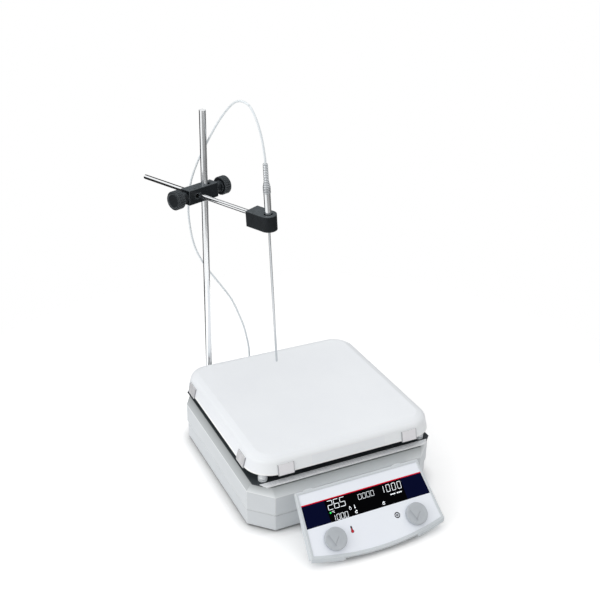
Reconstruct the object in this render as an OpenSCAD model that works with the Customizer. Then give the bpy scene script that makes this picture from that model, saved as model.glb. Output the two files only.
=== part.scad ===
// Hotplate stirrer with support rod, boss head and temperature probe.
// Millimetres. Origin on the bench under the stirring axis, front towards -Y, up is +Z.

/* [Body] */
// width of the body
body_w = 292; // [276:1:310]
// depth of the body without console and rod boss
body_d = 302; // [286:1:320]
// leg of the cut on each upright corner
corner_cut = 30; // [24:1:36]
// top of the upright outer wall
wall_top = 59.4; // [57:0.2:61]
// height of the seam between base tray and upper body
seam_z = 29.2; // [27:0.2:31]
// clear height under the base tray
foot_h = 3.2; // [2.6:0.2:4]
// wall thickness of the body
wall = 3; // [2.4:0.2:3.6]
// inset of the rim that ends the sloping ledge
rim_in = 6; // [5:0.5:7]
// height of that rim
rim_z = 73; // [71:0.5:74]

/* [Top plate] */
// top face of the plate
plate_top = 115.7; // [113:0.1:119]
// width of the plate at the bottom of its skirt
plate_w = 289.4; // [284:0.2:292]
// width of the flat part of the top
flat_w = 255; // [248:1:262]
// height of plate and skirt together
plate_h = 24; // [22:0.5:26]
// thickness of the top
plate_t = 6; // [5:0.5:7]
// plan radius of the corners
plate_corner = 38; // [34:1:42]
// width of each steel clip
clip_w = 24; // [20:1:28]
// distance of the clips from the middle of a side
clip_at = 97; // [90:1:100]

/* [Console] */
// slope of the console face in degrees
con_tilt = 39.5; // [36:0.5:42]
// half width of the overlay at its back edge
con_half = 92.5; // [88:0.5:97]
// length of the overlay along its middle
con_len = 93.7; // [90:0.1:98]
// radius of the bowed front edge
con_bow = 407; // [380:1:440]
// width of the frame round the overlay
con_frame = 3.8; // [3:0.1:4.6]
// distance of each knob from the middle
knob_at = 63; // [58:0.5:66]
// knob diameter
knob_d = 31; // [27:0.5:34]
// knob height
knob_h = 7.6; // [6.5:0.1:9]
// display width
disp_w = 120; // [108:1:128]
// display height
disp_h = 30.4; // [27:0.2:33]

/* [Support] */
// support rod diameter
rod_d = 10; // [9:0.1:11]
// support rod top
rod_top = 515; // [480:1:530]
// cross rod diameter
cross_d = 7; // [6:0.1:8]
// height of the cross rod
clamp_z = 393; // [370:1:410]
// turn of the boss head about the support rod in degrees
clamp_turn = 23; // [10:0.5:35]
// distance between the two rods
cross_off = 18; // [16.5:0.1:19.5]
// clamp knob diameter
grip_d = 28; // [24:0.5:30]

/* [Probe] */
// tilt of holder and probe about the cross rod in degrees
probe_tilt = 4.8; // [0:0.1:6]
// probe axis from the boss head along the cross rod
probe_at = 146; // [130:1:160]
// handle diameter
handle_d = 9.6; // [9:0.1:10.4]
// stem diameter
stem_d = 3.2; // [2.8:0.1:3.6]
// stem length below the cross rod
stem_len = 234; // [200:1:236]
// cable diameter
cable_d = 3; // [2.4:0.1:3.4]

/* [Fits] */
// radial clearance of a turning or sliding shaft
run_fit = 0.06; // [0.03:0.01:0.09]
// gap between moving pieces that do not guide each other
move_gap = 0.4; // [0.3:0.05:0.6]
// radial clearance of a screw in its hole
screw_fit = 0.3; // [0.2:0.05:0.4]

/* [Hidden] */
$fn = 64;
bw = body_w / 2;
bd = body_d / 2;
tray_in = 1.2;
floor_t = 2.6;
floor_z = foot_h + floor_t;
tilt_cut = 2 - sqrt(2);
rim_trim = 8;
rim_cut = corner_cut - rim_trim;
rim_w = 2.4;
ledge_t = 2;

foot_r = 11;
foot_at = 112;
foot_stem_r = 3;

post_r = 5;
post_in = 4;
post_x = bw - wall - post_in;
post_y = 84;
screw_r = 2;
screw_top = seam_z + 14;
head_r = 3.8;
head_h = 3;

pad_top = 75.3;
pad_r = 7;
pad_deep = 10;
web_t = 4;
shield_t = 1.2;
shield_top = pad_top + shield_t;
shield_rise = 22;
pillar_r = 6.6;
pillar_foot = 7;
pillar_step = 0.8;
pillar_slot_w = 8;
pillar_slot_h = 1.4;
pillar_slot_deep = 2;
pillar_in = 1;
stud_gap = 1;
pillar_neck_r = 3;
pillar_side = 20;
pillar_front = 17;
pillar_x = plate_w / 2 - pillar_side;
pillar_y = plate_w / 2 - pillar_front;
shield_side = 3.4;
shield_front = 5.2;
shield_step = 3.7;
shield_wall = pillar_x - shield_step;
shield_x = plate_w / 2 - shield_side;
shield_y = plate_w / 2 - shield_front;
shield_cut = 10;
pad_reach = (bw + bd - corner_cut - pillar_x - pillar_y) / sqrt(2) - wall / 2;
stud_r = 2.5;
stud_l = 8;

plate_bot = plate_top - plate_h;
plate_under = plate_top - plate_t;
skirt_t = 2.6;
pw = plate_w / 2;
crown_x = flat_w / 2;
knee_x = pw - 4.3;
knee_z = plate_top - 7.2;
draft = atan((pw - knee_x) / (knee_z - plate_bot));
plate_profile = [
    [0, plate_bot], [pw, plate_bot], [knee_x, knee_z], [knee_x - 2, knee_z + 2.8],
    [knee_x - 5.4, knee_z + 4.9], [crown_x + 3.4, plate_top - 0.9], [crown_x, plate_top], [0, plate_top]];
clip_t = 1.6;
clip_rise = 14;
clip_hook = 6;

strip_t = 1;
strip_w = 9.4;
strip_out = 6.3;
strip_front = shield_y + strip_out;
strip_back = strip_front - strip_w;
strip_past = 1.8;
strip_flare = 6.5;
strip_half = pillar_x + strip_past;
strip_end = strip_half + strip_flare;
strip_lip = 1;

heater_t = 3;
pad_room = 2;

motor_z = 15;
bracket_w = 94;
bracket_t = 3;
bracket_post = 40;
bracket_post_r = 5;
motor_r = 36;
motor_can = 4;
can_top = 55;
bearing_r = 11;
bearing_h = 7;
shaft_r = 4;
shaft_room = 3;
stator_in = 23;
rotor_gap = 1;
shaft_top = 66;
holder_r = 46;
holder_z = 60;
holder_t = 6;
magnet_r = 9;
magnet_h = 10;
magnet_at = 32;
pcb_t = 1.6;
power_x = 15;
power_back = 54;
power_y = bd - power_back;
power_w = 140;
power_d = 66;
power_z = 14;
power_edge_x = 6;
power_edge_y = 5;
standoff_r = 3.5;
standoff_screw_r = 1.6;
standoff_cap = 1.8;
// blocks on the power board: x and y from its middle, width, depth, height
choke = [-47, 3, 34, 38, 22];
capacitor = [10, 7, 18, 30, 16];
relay = [43, -1, 24, 16, 12];

con_out = 21.6;
con_y = -bd - con_out;
con_z = 71.4;
con_flare = 0.0785;
con_rim = 0.6;
overlay_t = 0.8;
face_t = 2.2;
face_under = -overlay_t - face_t;
con_wall = 2.6;
con_back_depth = 5;
con_taper = 4.6;
lip_from = -78;
neck_half = 74;
neck_t = 2.5;
neck_lift = 0.8;
neck_back_z = 54;
neck_top_out = 14;
neck_top_z = 67.6;
neck_toe_out = 79;
neck_toe_z = 8.2;
neck_heel_out = 75;
notch_half = 56;
notch_deep = 1.9;
lip_deep = 4.8;
lip_gap = 1;
lip_bow = (con_bow + con_frame) / cos(con_tilt);
tray_t = 2;
hatch_deep = 14;
hatch_back = 3;
con_deep = 20;
cut_far = 150;
slot_half = 30;
slot_low = 34;
slot_high = 48;
tab_left = -77;
tab_right = 62;
tab_half = 6;
tab_d = 3;
tab_t = 2.1;
tab_back = 1.6;
con_screw_x = 56;
con_screw_r = 1.5;
disp_mid = -31.4;
knob_y = -69;
board_z = -12;
board_t = pcb_t;
board_mid = -42;
board_d = 70;
board_up = board_z + board_t;
encoder_half = 7;
bush_r = 4.5;
enc_shaft_r = 3;
push_travel = 0.5;
facet_turn = 208.6;
facet_from = 7.9;
facet_end = 4.8;
facet_tilt = 10;
groove_x = -4.6;
groove_y = -8;
groove_turn = 46.5;
groove_l = 12.9;
groove_w = 0.7;
groove_deep = 0.5;
plunger_low = board_up + 1.3;
shaft_low = plunger_low + 0.9;

rod_x = -91.9;
boss_r = 11;
rod_clear = 12;
rod_y = max(bd + boss_r, pw + rod_d / 2 + rod_clear);
rod_bottom = 57;
rod_r = rod_d / 2;
cross_r = cross_d / 2;
head_left = -38;
head_right = 19.5;
head_w = 17.8;
head_tall = 22;
slot_run = 5;
tip_t = 2;
tip_r = 2.6;
clamp_screw_r = 3;
grip_t = 13;
grip_out = 24;
grip_bore = 14;
neck_gap = 0.8;

cross_back = 112.5;
hold_back = 114;
hold_w = 24;
hold_h = 23;
hold_up = 7.5;
cross_in = 14;
bore_deep = 14.5;
seat_low = hold_up - bore_deep;
sleeve_low = 38.5;
sleeve_neck = 55;
sleeve_top = 81;
sleeve_d = 7.4;
flare_d = 10.6;

inlet_side = 50;
inlet_x = bw - inlet_side;
inlet_w = 28;
inlet_h = 20;
inlet_wall = 1.8;
inlet_lip = 2;
inlet_lip_t = 3;
inlet_deep = 23;
inlet_hollow = 14;
pin_w = 2;
pin_h = 4;
pin_l = 20;
pin_at = 7;
pin_drop = 2;
pin_rise = 3;
pin_tip = 7;
switch_side = 90;
switch_x = bw - switch_side;
switch_w = 20;
switch_h = 14;
switch_wall = 1.5;
switch_lip_t = 2;
switch_deep = 17;
rocker_w = 16;
rocker_h = 9.8;
rocker_out = 4.6;
rocker_r = 3;
rocker_tip = 7;
rocker_axis = 2;
socket_x = -6;
socket_r = 6;
socket_flange_r = 9;
socket_flange_t = 3;
socket_bore_r = 4.5;
socket_deep = 16;
socket_bore = 10;
plug_r = 7;
plug_l = 20;
plug_nose = 10;
plug_relief = 10;
plug_neck_r = 2.6;
rear_z = 44.4;

cable_r = cable_d / 2;
cable_sides = 8;
cable_steps = 3;
cable_fit = 0.2;
cable_path = [
    holder_point(sleeve_top - 4), holder_point(sleeve_top + 2), holder_point(sleeve_top + 8),
    [-60, 24, 506], [-63, 35, 529], [-65, 53, 543],
    [-68, 75, 545], [-70, 98, 537], [-73, 121, 520], [-77, 144, 497],
    [-84, 164, 468], [-94, 177, 438], [-101, 184, 414], [-105, 187, 396],
    [-109, 188, 361], [-108, 188, 336], [-105, 187, 312], [-99, 186, 289],
    [-89, 185, 268], [-77, 185, 248], [-60, 185, 223], [-43, 185, 196],
    [-31, 185, 168], [-20, 186, 137], [-11, 190, 98], [-7, 197, 68],
    [-6, 200, 54], [-6, 195, 46], [-6, 186, 44.4], [-6, 180, 44.4]
];

// world place of a point on the probe axis, given its height above the cross rod
function holder_point(h) =
    let (along = -cross_off - h * sin(probe_tilt))
    [rod_x + along * cos(clamp_turn) + probe_at * sin(clamp_turn),
     rod_y + along * sin(clamp_turn) - probe_at * cos(clamp_turn),
     clamp_z + h * cos(probe_tilt)];

function octagon_points(hx, hy, cut) = [
    [hx, hy - cut], [hx - cut, hy], [-hx + cut, hy], [-hx, hy - cut],
    [-hx, -hy + cut], [-hx + cut, -hy], [hx - cut, -hy], [hx, -hy + cut]];

module octagon_block(hx, hy, cut, low, high) {
    translate([0, 0, low])
        linear_extrude(high - low)
            polygon(octagon_points(hx, hy, cut));
}

// block between two octagons whose sides stay parallel
module octagon_taper(low_points, high_points, low, high) {
    points = concat(
        [for (p = low_points) [p[0], p[1], low]],
        [for (p = high_points) [p[0], p[1], high]]);
    faces = concat(
        [[for (i = [0:7]) i]],
        [[for (i = [0:7]) 15 - i]],
        [for (i = [0:7]) [i, i + 8, (i + 1) % 8 + 8, (i + 1) % 8]]);
    polyhedron(points, faces);
}

module at_corners(x, y) {
    for (sx = [-1, 1])
        for (sy = [-1, 1])
            translate([sx * x, sy * y, 0])
                children();
}

module at_posts() {
    for (sx = [-1, 1])
        for (sy = [-1, 0, 1])
            translate([sx * post_x, sy * post_y, 0])
                children();
}

module ring(outer, inner, low, high) {
    translate([0, 0, low])
        difference() {
            cylinder(r = outer, h = high - low);
            translate([0, 0, -1])
                cylinder(r = inner, h = high - low + 2);
        }
}

// box centred on x and y
module slab(x, y, low, high) {
    translate([-x / 2, -y / 2, low])
        cube([x, y, high - low]);
}

module base_tray() {
    hx = bw - tray_in;
    hy = bd - tray_in;
    in_cut = corner_cut - tilt_cut * wall;
    color([0.83, 0.85, 0.87])
    difference() {
        union() {
            difference() {
                octagon_block(hx, hy, corner_cut, foot_h, seam_z);
                octagon_block(hx - wall, hy - wall, in_cut, floor_z, seam_z + 1);
            }
            at_posts()
                translate([0, 0, foot_h])
                    cylinder(r = post_r, h = seam_z - foot_h);
            at_corners(bracket_post, bracket_post)
                translate([0, 0, foot_h + 1])
                    cylinder(r = bracket_post_r, h = motor_z - bracket_t - foot_h - 1);
        }
        at_posts()
            translate([0, 0, foot_h - 1]) {
                cylinder(r = screw_r + screw_fit, h = seam_z);
                cylinder(r = head_r + screw_fit, h = head_h + 3);
            }
        at_corners(foot_at, foot_at)
            translate([0, 0, foot_h - 1])
                cylinder(r = foot_stem_r, h = floor_t + 2);
    }
}

module rubber_feet() {
    color([0.12, 0.12, 0.13])
    at_corners(foot_at, foot_at) {
        cylinder(r = foot_r, h = foot_h);
        cylinder(r = foot_stem_r, h = floor_z + 1.5);
        translate([0, 0, floor_z])
            cylinder(r = foot_stem_r + 1.5, h = 1.5);
    }
}

// posts under the heat shield, each with a web to the middle of its corner wall
module pad_posts() {
    low = wall_top - pad_deep;
    for (sx = [-1, 1])
        for (sy = [-1, 1])
            translate([sx * pillar_x, sy * pillar_y, low]) {
                cylinder(r = pad_r, h = pad_top - low);
                rotate([0, 0, atan2(sy, sx)])
                    translate([min(0, pad_reach), -web_t / 2, 0])
                        cube([abs(pad_reach), web_t, pad_deep]);
            }
}

module upper_body() {
    in_cut = corner_cut - tilt_cut * wall;
    outer = octagon_points(bw, bd, corner_cut);
    rim = octagon_points(bw - rim_in, bd - rim_in, rim_cut);
    inner = octagon_points(bw - wall, bd - wall, in_cut);
    hole = octagon_points(bw - rim_in - rim_w, bd - rim_in - rim_w, rim_cut - tilt_cut * rim_w);
    color([0.80, 0.82, 0.84])
    difference() {
        union() {
            difference() {
                union() {
                    octagon_block(bw, bd, corner_cut, seam_z, wall_top);
                    octagon_taper(outer, rim, wall_top, rim_z);
                }
                octagon_block(bw - wall, bd - wall, in_cut, seam_z - 1, wall_top - ledge_t);
                octagon_taper(inner, hole, wall_top - ledge_t, rim_z + 0.01);
            }
            at_posts()
                translate([0, 0, seam_z])
                    cylinder(r = post_r, h = screw_top + 4 - seam_z);
            pad_posts();
            translate([rod_x, rod_y, seam_z])
                cylinder(r = boss_r, h = pad_top - seam_z);
            translate([rod_x - boss_r, bd - 1, seam_z])
                cube([2 * boss_r, rod_y - bd + 1, wall_top - seam_z]);
        }
        at_posts()
            translate([0, 0, seam_z - 1])
                cylinder(r = screw_r + run_fit, h = screw_top + 2 - seam_z);
        at_corners(pillar_x, pillar_y)
            translate([0, 0, pad_top - stud_l])
                cylinder(r = stud_r + run_fit, h = stud_l + 1);
        translate([rod_x, rod_y, rod_bottom])
            cylinder(r = rod_r + run_fit, h = pad_top - rod_bottom + 1);
        translate([inlet_x, bd, rear_z])
            cube([inlet_w, 4 * wall, inlet_h], center = true);
        translate([switch_x, bd, rear_z])
            cube([switch_w, 4 * wall, switch_h], center = true);
        translate([socket_x, bd, rear_z])
            rotate([90, 0, 0])
                cylinder(r = socket_r, h = 4 * wall, center = true);
        translate([-slot_half, -bd - 1, slot_low])
            cube([2 * slot_half, wall + 2, slot_high - slot_low]);
        at_console_screws()
            cylinder(r = con_screw_r + screw_fit, h = 4 * wall, center = true);
    }
}

module body_screws() {
    color([0.62, 0.63, 0.65])
    at_posts()
        difference() {
            union() {
                translate([0, 0, foot_h + 2])
                    cylinder(r = head_r, h = head_h);
                translate([0, 0, foot_h + 2])
                    cylinder(r = screw_r, h = screw_top - foot_h - 2);
            }
            translate([0, 0, foot_h + 1])
                cylinder(r = 1.6, h = 2.8, $fn = 6);
        }
}

module heat_shield() {
    color([0.13, 0.14, 0.15])
    difference() {
        union() {
            octagon_block(shield_x, shield_y, shield_cut, pad_top, shield_top);
            slab(2 * shield_wall, 2 * shield_wall, pad_top, shield_top + shield_rise);
        }
        slab(2 * (shield_wall - shield_t), 2 * (shield_wall - shield_t), shield_top, plate_top);
        at_corners(pillar_x, pillar_y)
            translate([0, 0, pad_top - 1])
                cylinder(r = stud_r + screw_fit, h = 4);
    }
}

module front_strip() {
    color([0.74, 0.76, 0.77])
    union() {
        translate([0, 0, shield_top])
            linear_extrude(strip_t)
                polygon([
                    [-strip_half, -strip_front], [strip_half, -strip_front],
                    [strip_end, -strip_back], [-strip_end, -strip_back]]);
        translate([-strip_half, -strip_front, shield_top - strip_lip])
            cube([2 * strip_half, strip_t, strip_lip + strip_t]);
    }
}

module plate_pillars() {
    color([0.80, 0.81, 0.82])
    at_corners(pillar_x, pillar_y)
        difference() {
            union() {
                translate([0, 0, shield_top])
                    rotate_extrude()
                        polygon([
                            [0, 0], [pillar_r - pillar_step, 0], [pillar_r, pillar_step],
                            [pillar_r, pillar_foot - pillar_step], [pillar_r - pillar_step, pillar_foot],
                            [pillar_r - pillar_step, plate_bot + pillar_in - shield_top],
                            [0, plate_bot + pillar_in - shield_top]]);
                translate([0, 0, shield_top])
                    cylinder(r = pillar_neck_r, h = plate_under - shield_top);
                translate([0, 0, pad_top - stud_l + stud_gap])
                    cylinder(r = stud_r, h = stud_l + shield_t);
            }
            translate([-pillar_slot_w / 2, -2 * pillar_r, shield_top + (pillar_foot - pillar_slot_h) / 2])
                cube([pillar_slot_w, pillar_r + pillar_slot_deep, pillar_slot_h]);
        }
}

// same outline all round: two crossed runs and four turned corners
module pan_solid(profile, corner) {
    reach = pw - corner;
    mirrored = [for (i = [len(profile) - 2:-1:1]) [-profile[i][0], profile[i][1]]];
    for (turn = [0, 90])
        rotate([90, 0, turn])
            translate([0, 0, -reach])
                linear_extrude(2 * reach)
                    polygon(concat(profile, mirrored));
    at_corners(reach, reach)
        rotate_extrude()
            polygon([for (p = profile) [max(0, p[0] - reach), p[1]]]);
}

module top_plate() {
    inside = [
        [0, plate_bot - 1], [pw - skirt_t, plate_bot - 1], [pw - skirt_t, plate_bot],
        [knee_x - skirt_t, plate_under], [0, plate_under]];
    color([0.93, 0.94, 0.95])
    difference() {
        pan_solid(plate_profile, plate_corner);
        pan_solid(inside, plate_corner);
    }
}

module plate_clips() {
    color([0.74, 0.74, 0.74])
    for (turn = [0, 90, 180, 270])
        rotate([0, 0, turn])
            for (side = [-1, 1])
                translate([side * clip_at - clip_w / 2, -pw, plate_bot]) {
                    rotate([-draft, 0, 0])
                        translate([0, -clip_t, -0.5])
                            cube([clip_w, clip_t, clip_rise + 0.5]);
                    translate([0, -clip_t, -clip_t])
                        cube([clip_w, clip_hook + clip_t, clip_t]);
                }
}

module heating_element() {
    side = 2 * (shield_wall - shield_t) - 4;
    color([0.55, 0.50, 0.42])
    slab(side, side, plate_under - heater_t, plate_under);
}

module insulation_pad() {
    side = 2 * (shield_wall - shield_t) - pad_room;
    color([0.86, 0.84, 0.78])
    difference() {
        slab(side, side, shield_top, plate_under - heater_t);
        translate([0, 0, plate_under - heater_t - 4])
            cylinder(r = 4, h = 5);
    }
}

module plate_sensor() {
    color([0.70, 0.60, 0.40])
    translate([0, 0, plate_under - heater_t - 3])
        cylinder(r = 3, h = 3);
}

module motor_bracket() {
    color([0.66, 0.67, 0.69])
    difference() {
        union() {
            slab(bracket_w, bracket_w, motor_z - bracket_t, motor_z);
            translate([0, 0, motor_z - bracket_t])
                cylinder(r = bearing_r + bracket_t, h = bearing_h + bracket_t);
        }
        translate([0, 0, motor_z])
            cylinder(r = bearing_r, h = bearing_h + 1);
        translate([0, 0, motor_z - bracket_t - 1])
            cylinder(r = shaft_r + shaft_room, h = 2 * bracket_t);
    }
}

module motor_can() {
    color([0.30, 0.31, 0.33])
    difference() {
        translate([0, 0, motor_z])
            cylinder(r = motor_r, h = can_top - motor_z);
        translate([0, 0, motor_z - 1])
            cylinder(r = motor_r - motor_can, h = can_top - 9 - motor_z + 1);
        translate([0, 0, motor_z])
            cylinder(r = bearing_r, h = can_top - 2 - motor_z);
        translate([0, 0, motor_z])
            cylinder(r = shaft_r + shaft_room, h = can_top);
    }
}

module motor_stator() {
    color([0.62, 0.36, 0.20])
    ring(motor_r - motor_can, stator_in, motor_z + bearing_h + 2, can_top - bearing_h - 4);
}

module motor_bearings() {
    color([0.70, 0.71, 0.73]) {
        ring(bearing_r, shaft_r + run_fit, motor_z, motor_z + bearing_h);
        ring(bearing_r, shaft_r + run_fit, can_top - 2 - bearing_h, can_top - 2);
    }
}

module motor_rotor() {
    color([0.45, 0.46, 0.48])
    ring(stator_in - rotor_gap, shaft_r, motor_z + bearing_h + 4, can_top - bearing_h - 6);
}

module motor_shaft() {
    color([0.75, 0.76, 0.78])
    translate([0, 0, motor_z - 2])
        cylinder(r = shaft_r, h = shaft_top - motor_z + 2);
}

module magnet_holder() {
    color([0.25, 0.25, 0.27])
    difference() {
        union() {
            translate([0, 0, holder_z])
                cylinder(r = holder_r, h = holder_t);
            translate([0, 0, holder_z - 4])
                cylinder(r = shaft_r + 5, h = 5);
        }
        translate([0, 0, holder_z - 5])
            cylinder(r = shaft_r, h = holder_t + 6);
        for (side = [-1, 1])
            translate([side * magnet_at, 0, holder_z + holder_t - 2])
                cylinder(r = magnet_r, h = 3);
    }
}

module drive_magnets() {
    color([0.60, 0.61, 0.62])
    for (side = [-1, 1])
        translate([side * magnet_at, 0, holder_z + holder_t - 2])
            cylinder(r = magnet_r, h = magnet_h);
}

module at_board() {
    translate([power_x, power_y, 0])
        at_corners(power_w / 2 - power_edge_x, power_d / 2 - power_edge_y)
            children();
}

module board_block(b) {
    translate([power_x + b[0], power_y + b[1], power_z + pcb_t / 2])
        slab(b[2], b[3], 0, b[4]);
}

module power_board() {
    color([0.10, 0.36, 0.20])
    difference() {
        union() {
            translate([power_x, power_y, 0])
                slab(power_w, power_d, power_z, power_z + pcb_t);
            board_block(choke);
            board_block(capacitor);
            board_block(relay);
        }
        at_board()
            translate([0, 0, power_z - 1])
                cylinder(r = standoff_screw_r, h = 4);
    }
}

module board_standoffs() {
    color([0.78, 0.70, 0.45])
    at_board() {
        translate([0, 0, floor_z])
            cylinder(r = standoff_r, h = power_z - floor_z);
        translate([0, 0, floor_z])
            cylinder(r = standoff_screw_r, h = power_z + pcb_t + standoff_cap - floor_z);
        translate([0, 0, power_z + pcb_t])
            cylinder(r = standoff_r - 0.7, h = standoff_cap);
    }
}

module mains_inlet() {
    color([0.09, 0.09, 0.10])
    translate([inlet_x, bd, rear_z])
        difference() {
            union() {
                translate([0, inlet_lip_t / 2, 0])
                    cube([inlet_w + 2 * inlet_lip, inlet_lip_t, inlet_h + 2.5 * inlet_lip], center = true);
                translate([0, (1 - inlet_deep) / 2, 0])
                    cube([inlet_w, inlet_deep + 1, inlet_h], center = true);
            }
            translate([0, 2 - inlet_hollow / 2, 0])
                cube(
                    [inlet_w - 2 * inlet_wall, inlet_hollow + 4.01, inlet_h - 2 * inlet_wall],
                    center = true);
            pin_blades();
        }
}

module pin_blades() {
    for (pin = [[-pin_at, -pin_drop], [pin_at, -pin_drop], [0, pin_rise]])
        translate([pin[0], -pin_tip - pin_l / 2, pin[1]])
            cube([pin_w, pin_l, pin_h], center = true);
}

module inlet_pins() {
    color([0.78, 0.79, 0.80])
    translate([inlet_x, bd, rear_z])
        pin_blades();
}

module switch_frame() {
    color([0.09, 0.09, 0.10])
    translate([switch_x, bd, rear_z])
        difference() {
            union() {
                translate([0, switch_lip_t / 2, 0])
                    cube([switch_w + 3, switch_lip_t, switch_h + 3], center = true);
                translate([0, (1 - switch_deep) / 2, 0])
                    cube([switch_w, switch_deep + 1, switch_h], center = true);
            }
            translate([0, -1, 0])
                cube([switch_w - 2 * switch_wall, 10, switch_h - 2 * switch_wall], center = true);
        }
}

module switch_rocker() {
    color([0.14, 0.14, 0.15])
    translate([switch_x, bd - rocker_axis, rear_z])
        union() {
            rotate([0, 90, 0])
                cylinder(r = rocker_r, h = rocker_w, center = true);
            translate([-rocker_w / 2, 0, 0])
                rotate([rocker_tip, 0, 0])
                    translate([0, 0, -rocker_h / 2])
                        cube([rocker_w, rocker_out, rocker_h]);
        }
}

module probe_socket() {
    color([0.55, 0.56, 0.58])
    translate([socket_x, bd, rear_z])
        rotate([-90, 0, 0])
            difference() {
                union() {
                    cylinder(r = socket_flange_r, h = socket_flange_t);
                    translate([0, 0, -socket_deep])
                        cylinder(r = socket_r, h = socket_deep + 2);
                }
                translate([0, 0, -socket_bore])
                    cylinder(r = socket_bore_r, h = socket_bore + socket_flange_t + 1);
            }
}

module probe_plug() {
    color([0.16, 0.16, 0.17])
    translate([socket_x, bd + socket_flange_t, rear_z])
        rotate([-90, 0, 0])
            difference() {
                union() {
                    cylinder(r = plug_r, h = plug_l);
                    translate([0, 0, 1 - plug_nose])
                        cylinder(r = socket_bore_r, h = plug_nose);
                    translate([0, 0, plug_l])
                        cylinder(r1 = socket_bore_r, r2 = plug_neck_r, h = plug_relief);
                }
                translate([0, 0, plug_l + 2])
                    cylinder(r = cable_r + cable_fit, h = plug_relief);
            }
}

// console coordinates: x across, y up the slope from the overlay's back edge, z out of the face
module in_console() {
    translate([0, con_y, con_z])
        rotate([con_tilt, 0, 0])
            children();
}

// outline of the console face before its front edge is bowed
module console_wedge(grow, low, high) {
    side = grow * sqrt(1 + con_flare * con_flare);
    back = con_half - grow * con_flare + side;
    front = con_half + cut_far * con_flare + side;
    translate([0, 0, low])
        linear_extrude(high - low)
            polygon([[back, grow], [-back, grow], [-front, -cut_far], [front, -cut_far]]);
}

module console_prism(grow, low, high) {
    intersection() {
        console_wedge(grow, low, high);
        translate([0, con_bow - con_len, low])
            cylinder(r = con_bow + grow, h = high - low, $fn = 360);
    }
}

// block across the whole console between two places on y
module console_cut(back, front) {
    translate([-cut_far, front, -cut_far])
        cube([2 * cut_far, back - front, 2 * cut_far]);
}

// everything below the sloping underside of the console, raised by up
module under_console(up) {
    translate([0, con_frame, -con_back_depth + up])
        rotate([con_taper, 0, 0])
            translate([-cut_far, -cut_far, -cut_far])
                cube([2 * cut_far, 2 * cut_far, cut_far]);
}

module finger_notch() {
    translate([-notch_half, -cut_far, -cut_far])
        cube([2 * notch_half, cut_far + lip_from - 2 * lip_gap, cut_far - notch_deep]);
}

// front wall of the console, upright when the console is in place
module front_lip() {
    intersection() {
        console_wedge(con_frame, -lip_deep, con_rim);
        console_cut(lip_from, -cut_far);
        translate([0, -con_len - con_frame, con_rim])
            rotate([-con_tilt, 0, 0])
                translate([0, lip_bow, -cut_far])
                    cylinder(r = lip_bow, h = 2 * cut_far, $fn = 360);
    }
}

module console_bezel() {
    color([0.82, 0.85, 0.87])
    in_console()
        difference() {
            union() {
                difference() {
                    union() {
                        console_prism(con_frame, -con_deep, con_rim);
                        front_lip();
                    }
                    under_console(0);
                    finger_notch();
                    intersection() {
                        console_prism(con_frame - con_wall, -con_deep, face_under);
                        console_cut(cut_far, lip_from);
                    }
                    console_prism(0, -overlay_t, 2);
                }
                for (spot = [[-48, -73], [48, -73], [-64, -11], [64, -11]])
                    translate([spot[0], spot[1], board_up])
                        cylinder(r = 3, h = face_under - board_up + 0.5);
                for (x = [tab_left, tab_right])
                    translate([x - tab_half, con_frame - tab_back, con_rim - tab_t])
                        cube([2 * tab_half, tab_d, tab_t]);
            }
            translate([0, disp_mid, 0])
                slab(disp_w - 6, disp_h - 4, -6, 2);
            for (x = [-knob_at, knob_at])
                translate([x, knob_y, -6])
                    cylinder(r = bush_r + 0.1, h = 8);
        }
}

module neck_shape(inset) {
    low = foot_h + neck_lift + inset;
    back = -bd - inset;
    polygon([
        [back, low], [back, neck_back_z - inset * 0.4], [-bd - neck_top_out, neck_top_z - inset * 1.4],
        [inset - bd - neck_toe_out, neck_toe_z + inset * 0.5], [inset - bd - neck_heel_out, low]]);
}

module neck_solid(inset) {
    half = neck_half - inset;
    rotate([90, 0, 90])
        translate([0, 0, -half])
            linear_extrude(2 * half)
                neck_shape(inset);
}

module console_tray() {
    color([0.80, 0.82, 0.84])
    difference() {
        union() {
            in_console()
                difference() {
                    intersection() {
                        console_prism(con_frame - con_wall, -con_deep, 0);
                        console_cut(cut_far, lip_from);
                        under_console(tray_t);
                    }
                    under_console(0);
                }
            intersection() {
                neck_solid(0);
                in_console()
                    under_console(0);
            }
        }
        intersection() {
            neck_solid(neck_t);
            in_console()
                console_cut(con_frame, lip_from + lip_gap);
        }
        in_console()
            translate([-neck_half + neck_t, lip_from + lip_gap, -hatch_deep])
                cube([2 * (neck_half - neck_t), -lip_from - lip_gap - hatch_back, 2 * hatch_deep]);
        translate([-slot_half, -bd - 2 * neck_t, slot_low])
            cube([2 * slot_half, 3 * neck_t, slot_high - slot_low]);
        at_console_screws()
            cylinder(r = con_screw_r + run_fit, h = 4 * neck_t, center = true);
    }
}

module at_console_screws() {
    for (x = [-con_screw_x, con_screw_x])
        for (z = [slot_low, slot_high])
            translate([x, -bd, z])
                rotate([90, 0, 0])
                    children();
}

module console_screws() {
    color([0.62, 0.63, 0.65])
    at_console_screws() {
        translate([0, 0, -wall - 2.4])
            cylinder(r = 2 * con_screw_r, h = 2.4);
        translate([0, 0, -wall - 1])
            cylinder(r = con_screw_r, h = wall + neck_t + 3);
    }
}

module console_overlay() {
    color([0.90, 0.91, 0.95])
    in_console()
        difference() {
            console_prism(0, -overlay_t, 0);
            translate([0, disp_mid, 0])
                slab(disp_w, disp_h, -2, 2);
            for (x = [-knob_at, knob_at])
                translate([x, knob_y, -2])
                    cylinder(r = bush_r + 0.1, h = 4);
        }
}

module display_window() {
    color([0.02, 0.02, 0.03])
    in_console()
        translate([0, disp_mid, 0])
            slab(disp_w, disp_h, -overlay_t, 0);
}

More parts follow.
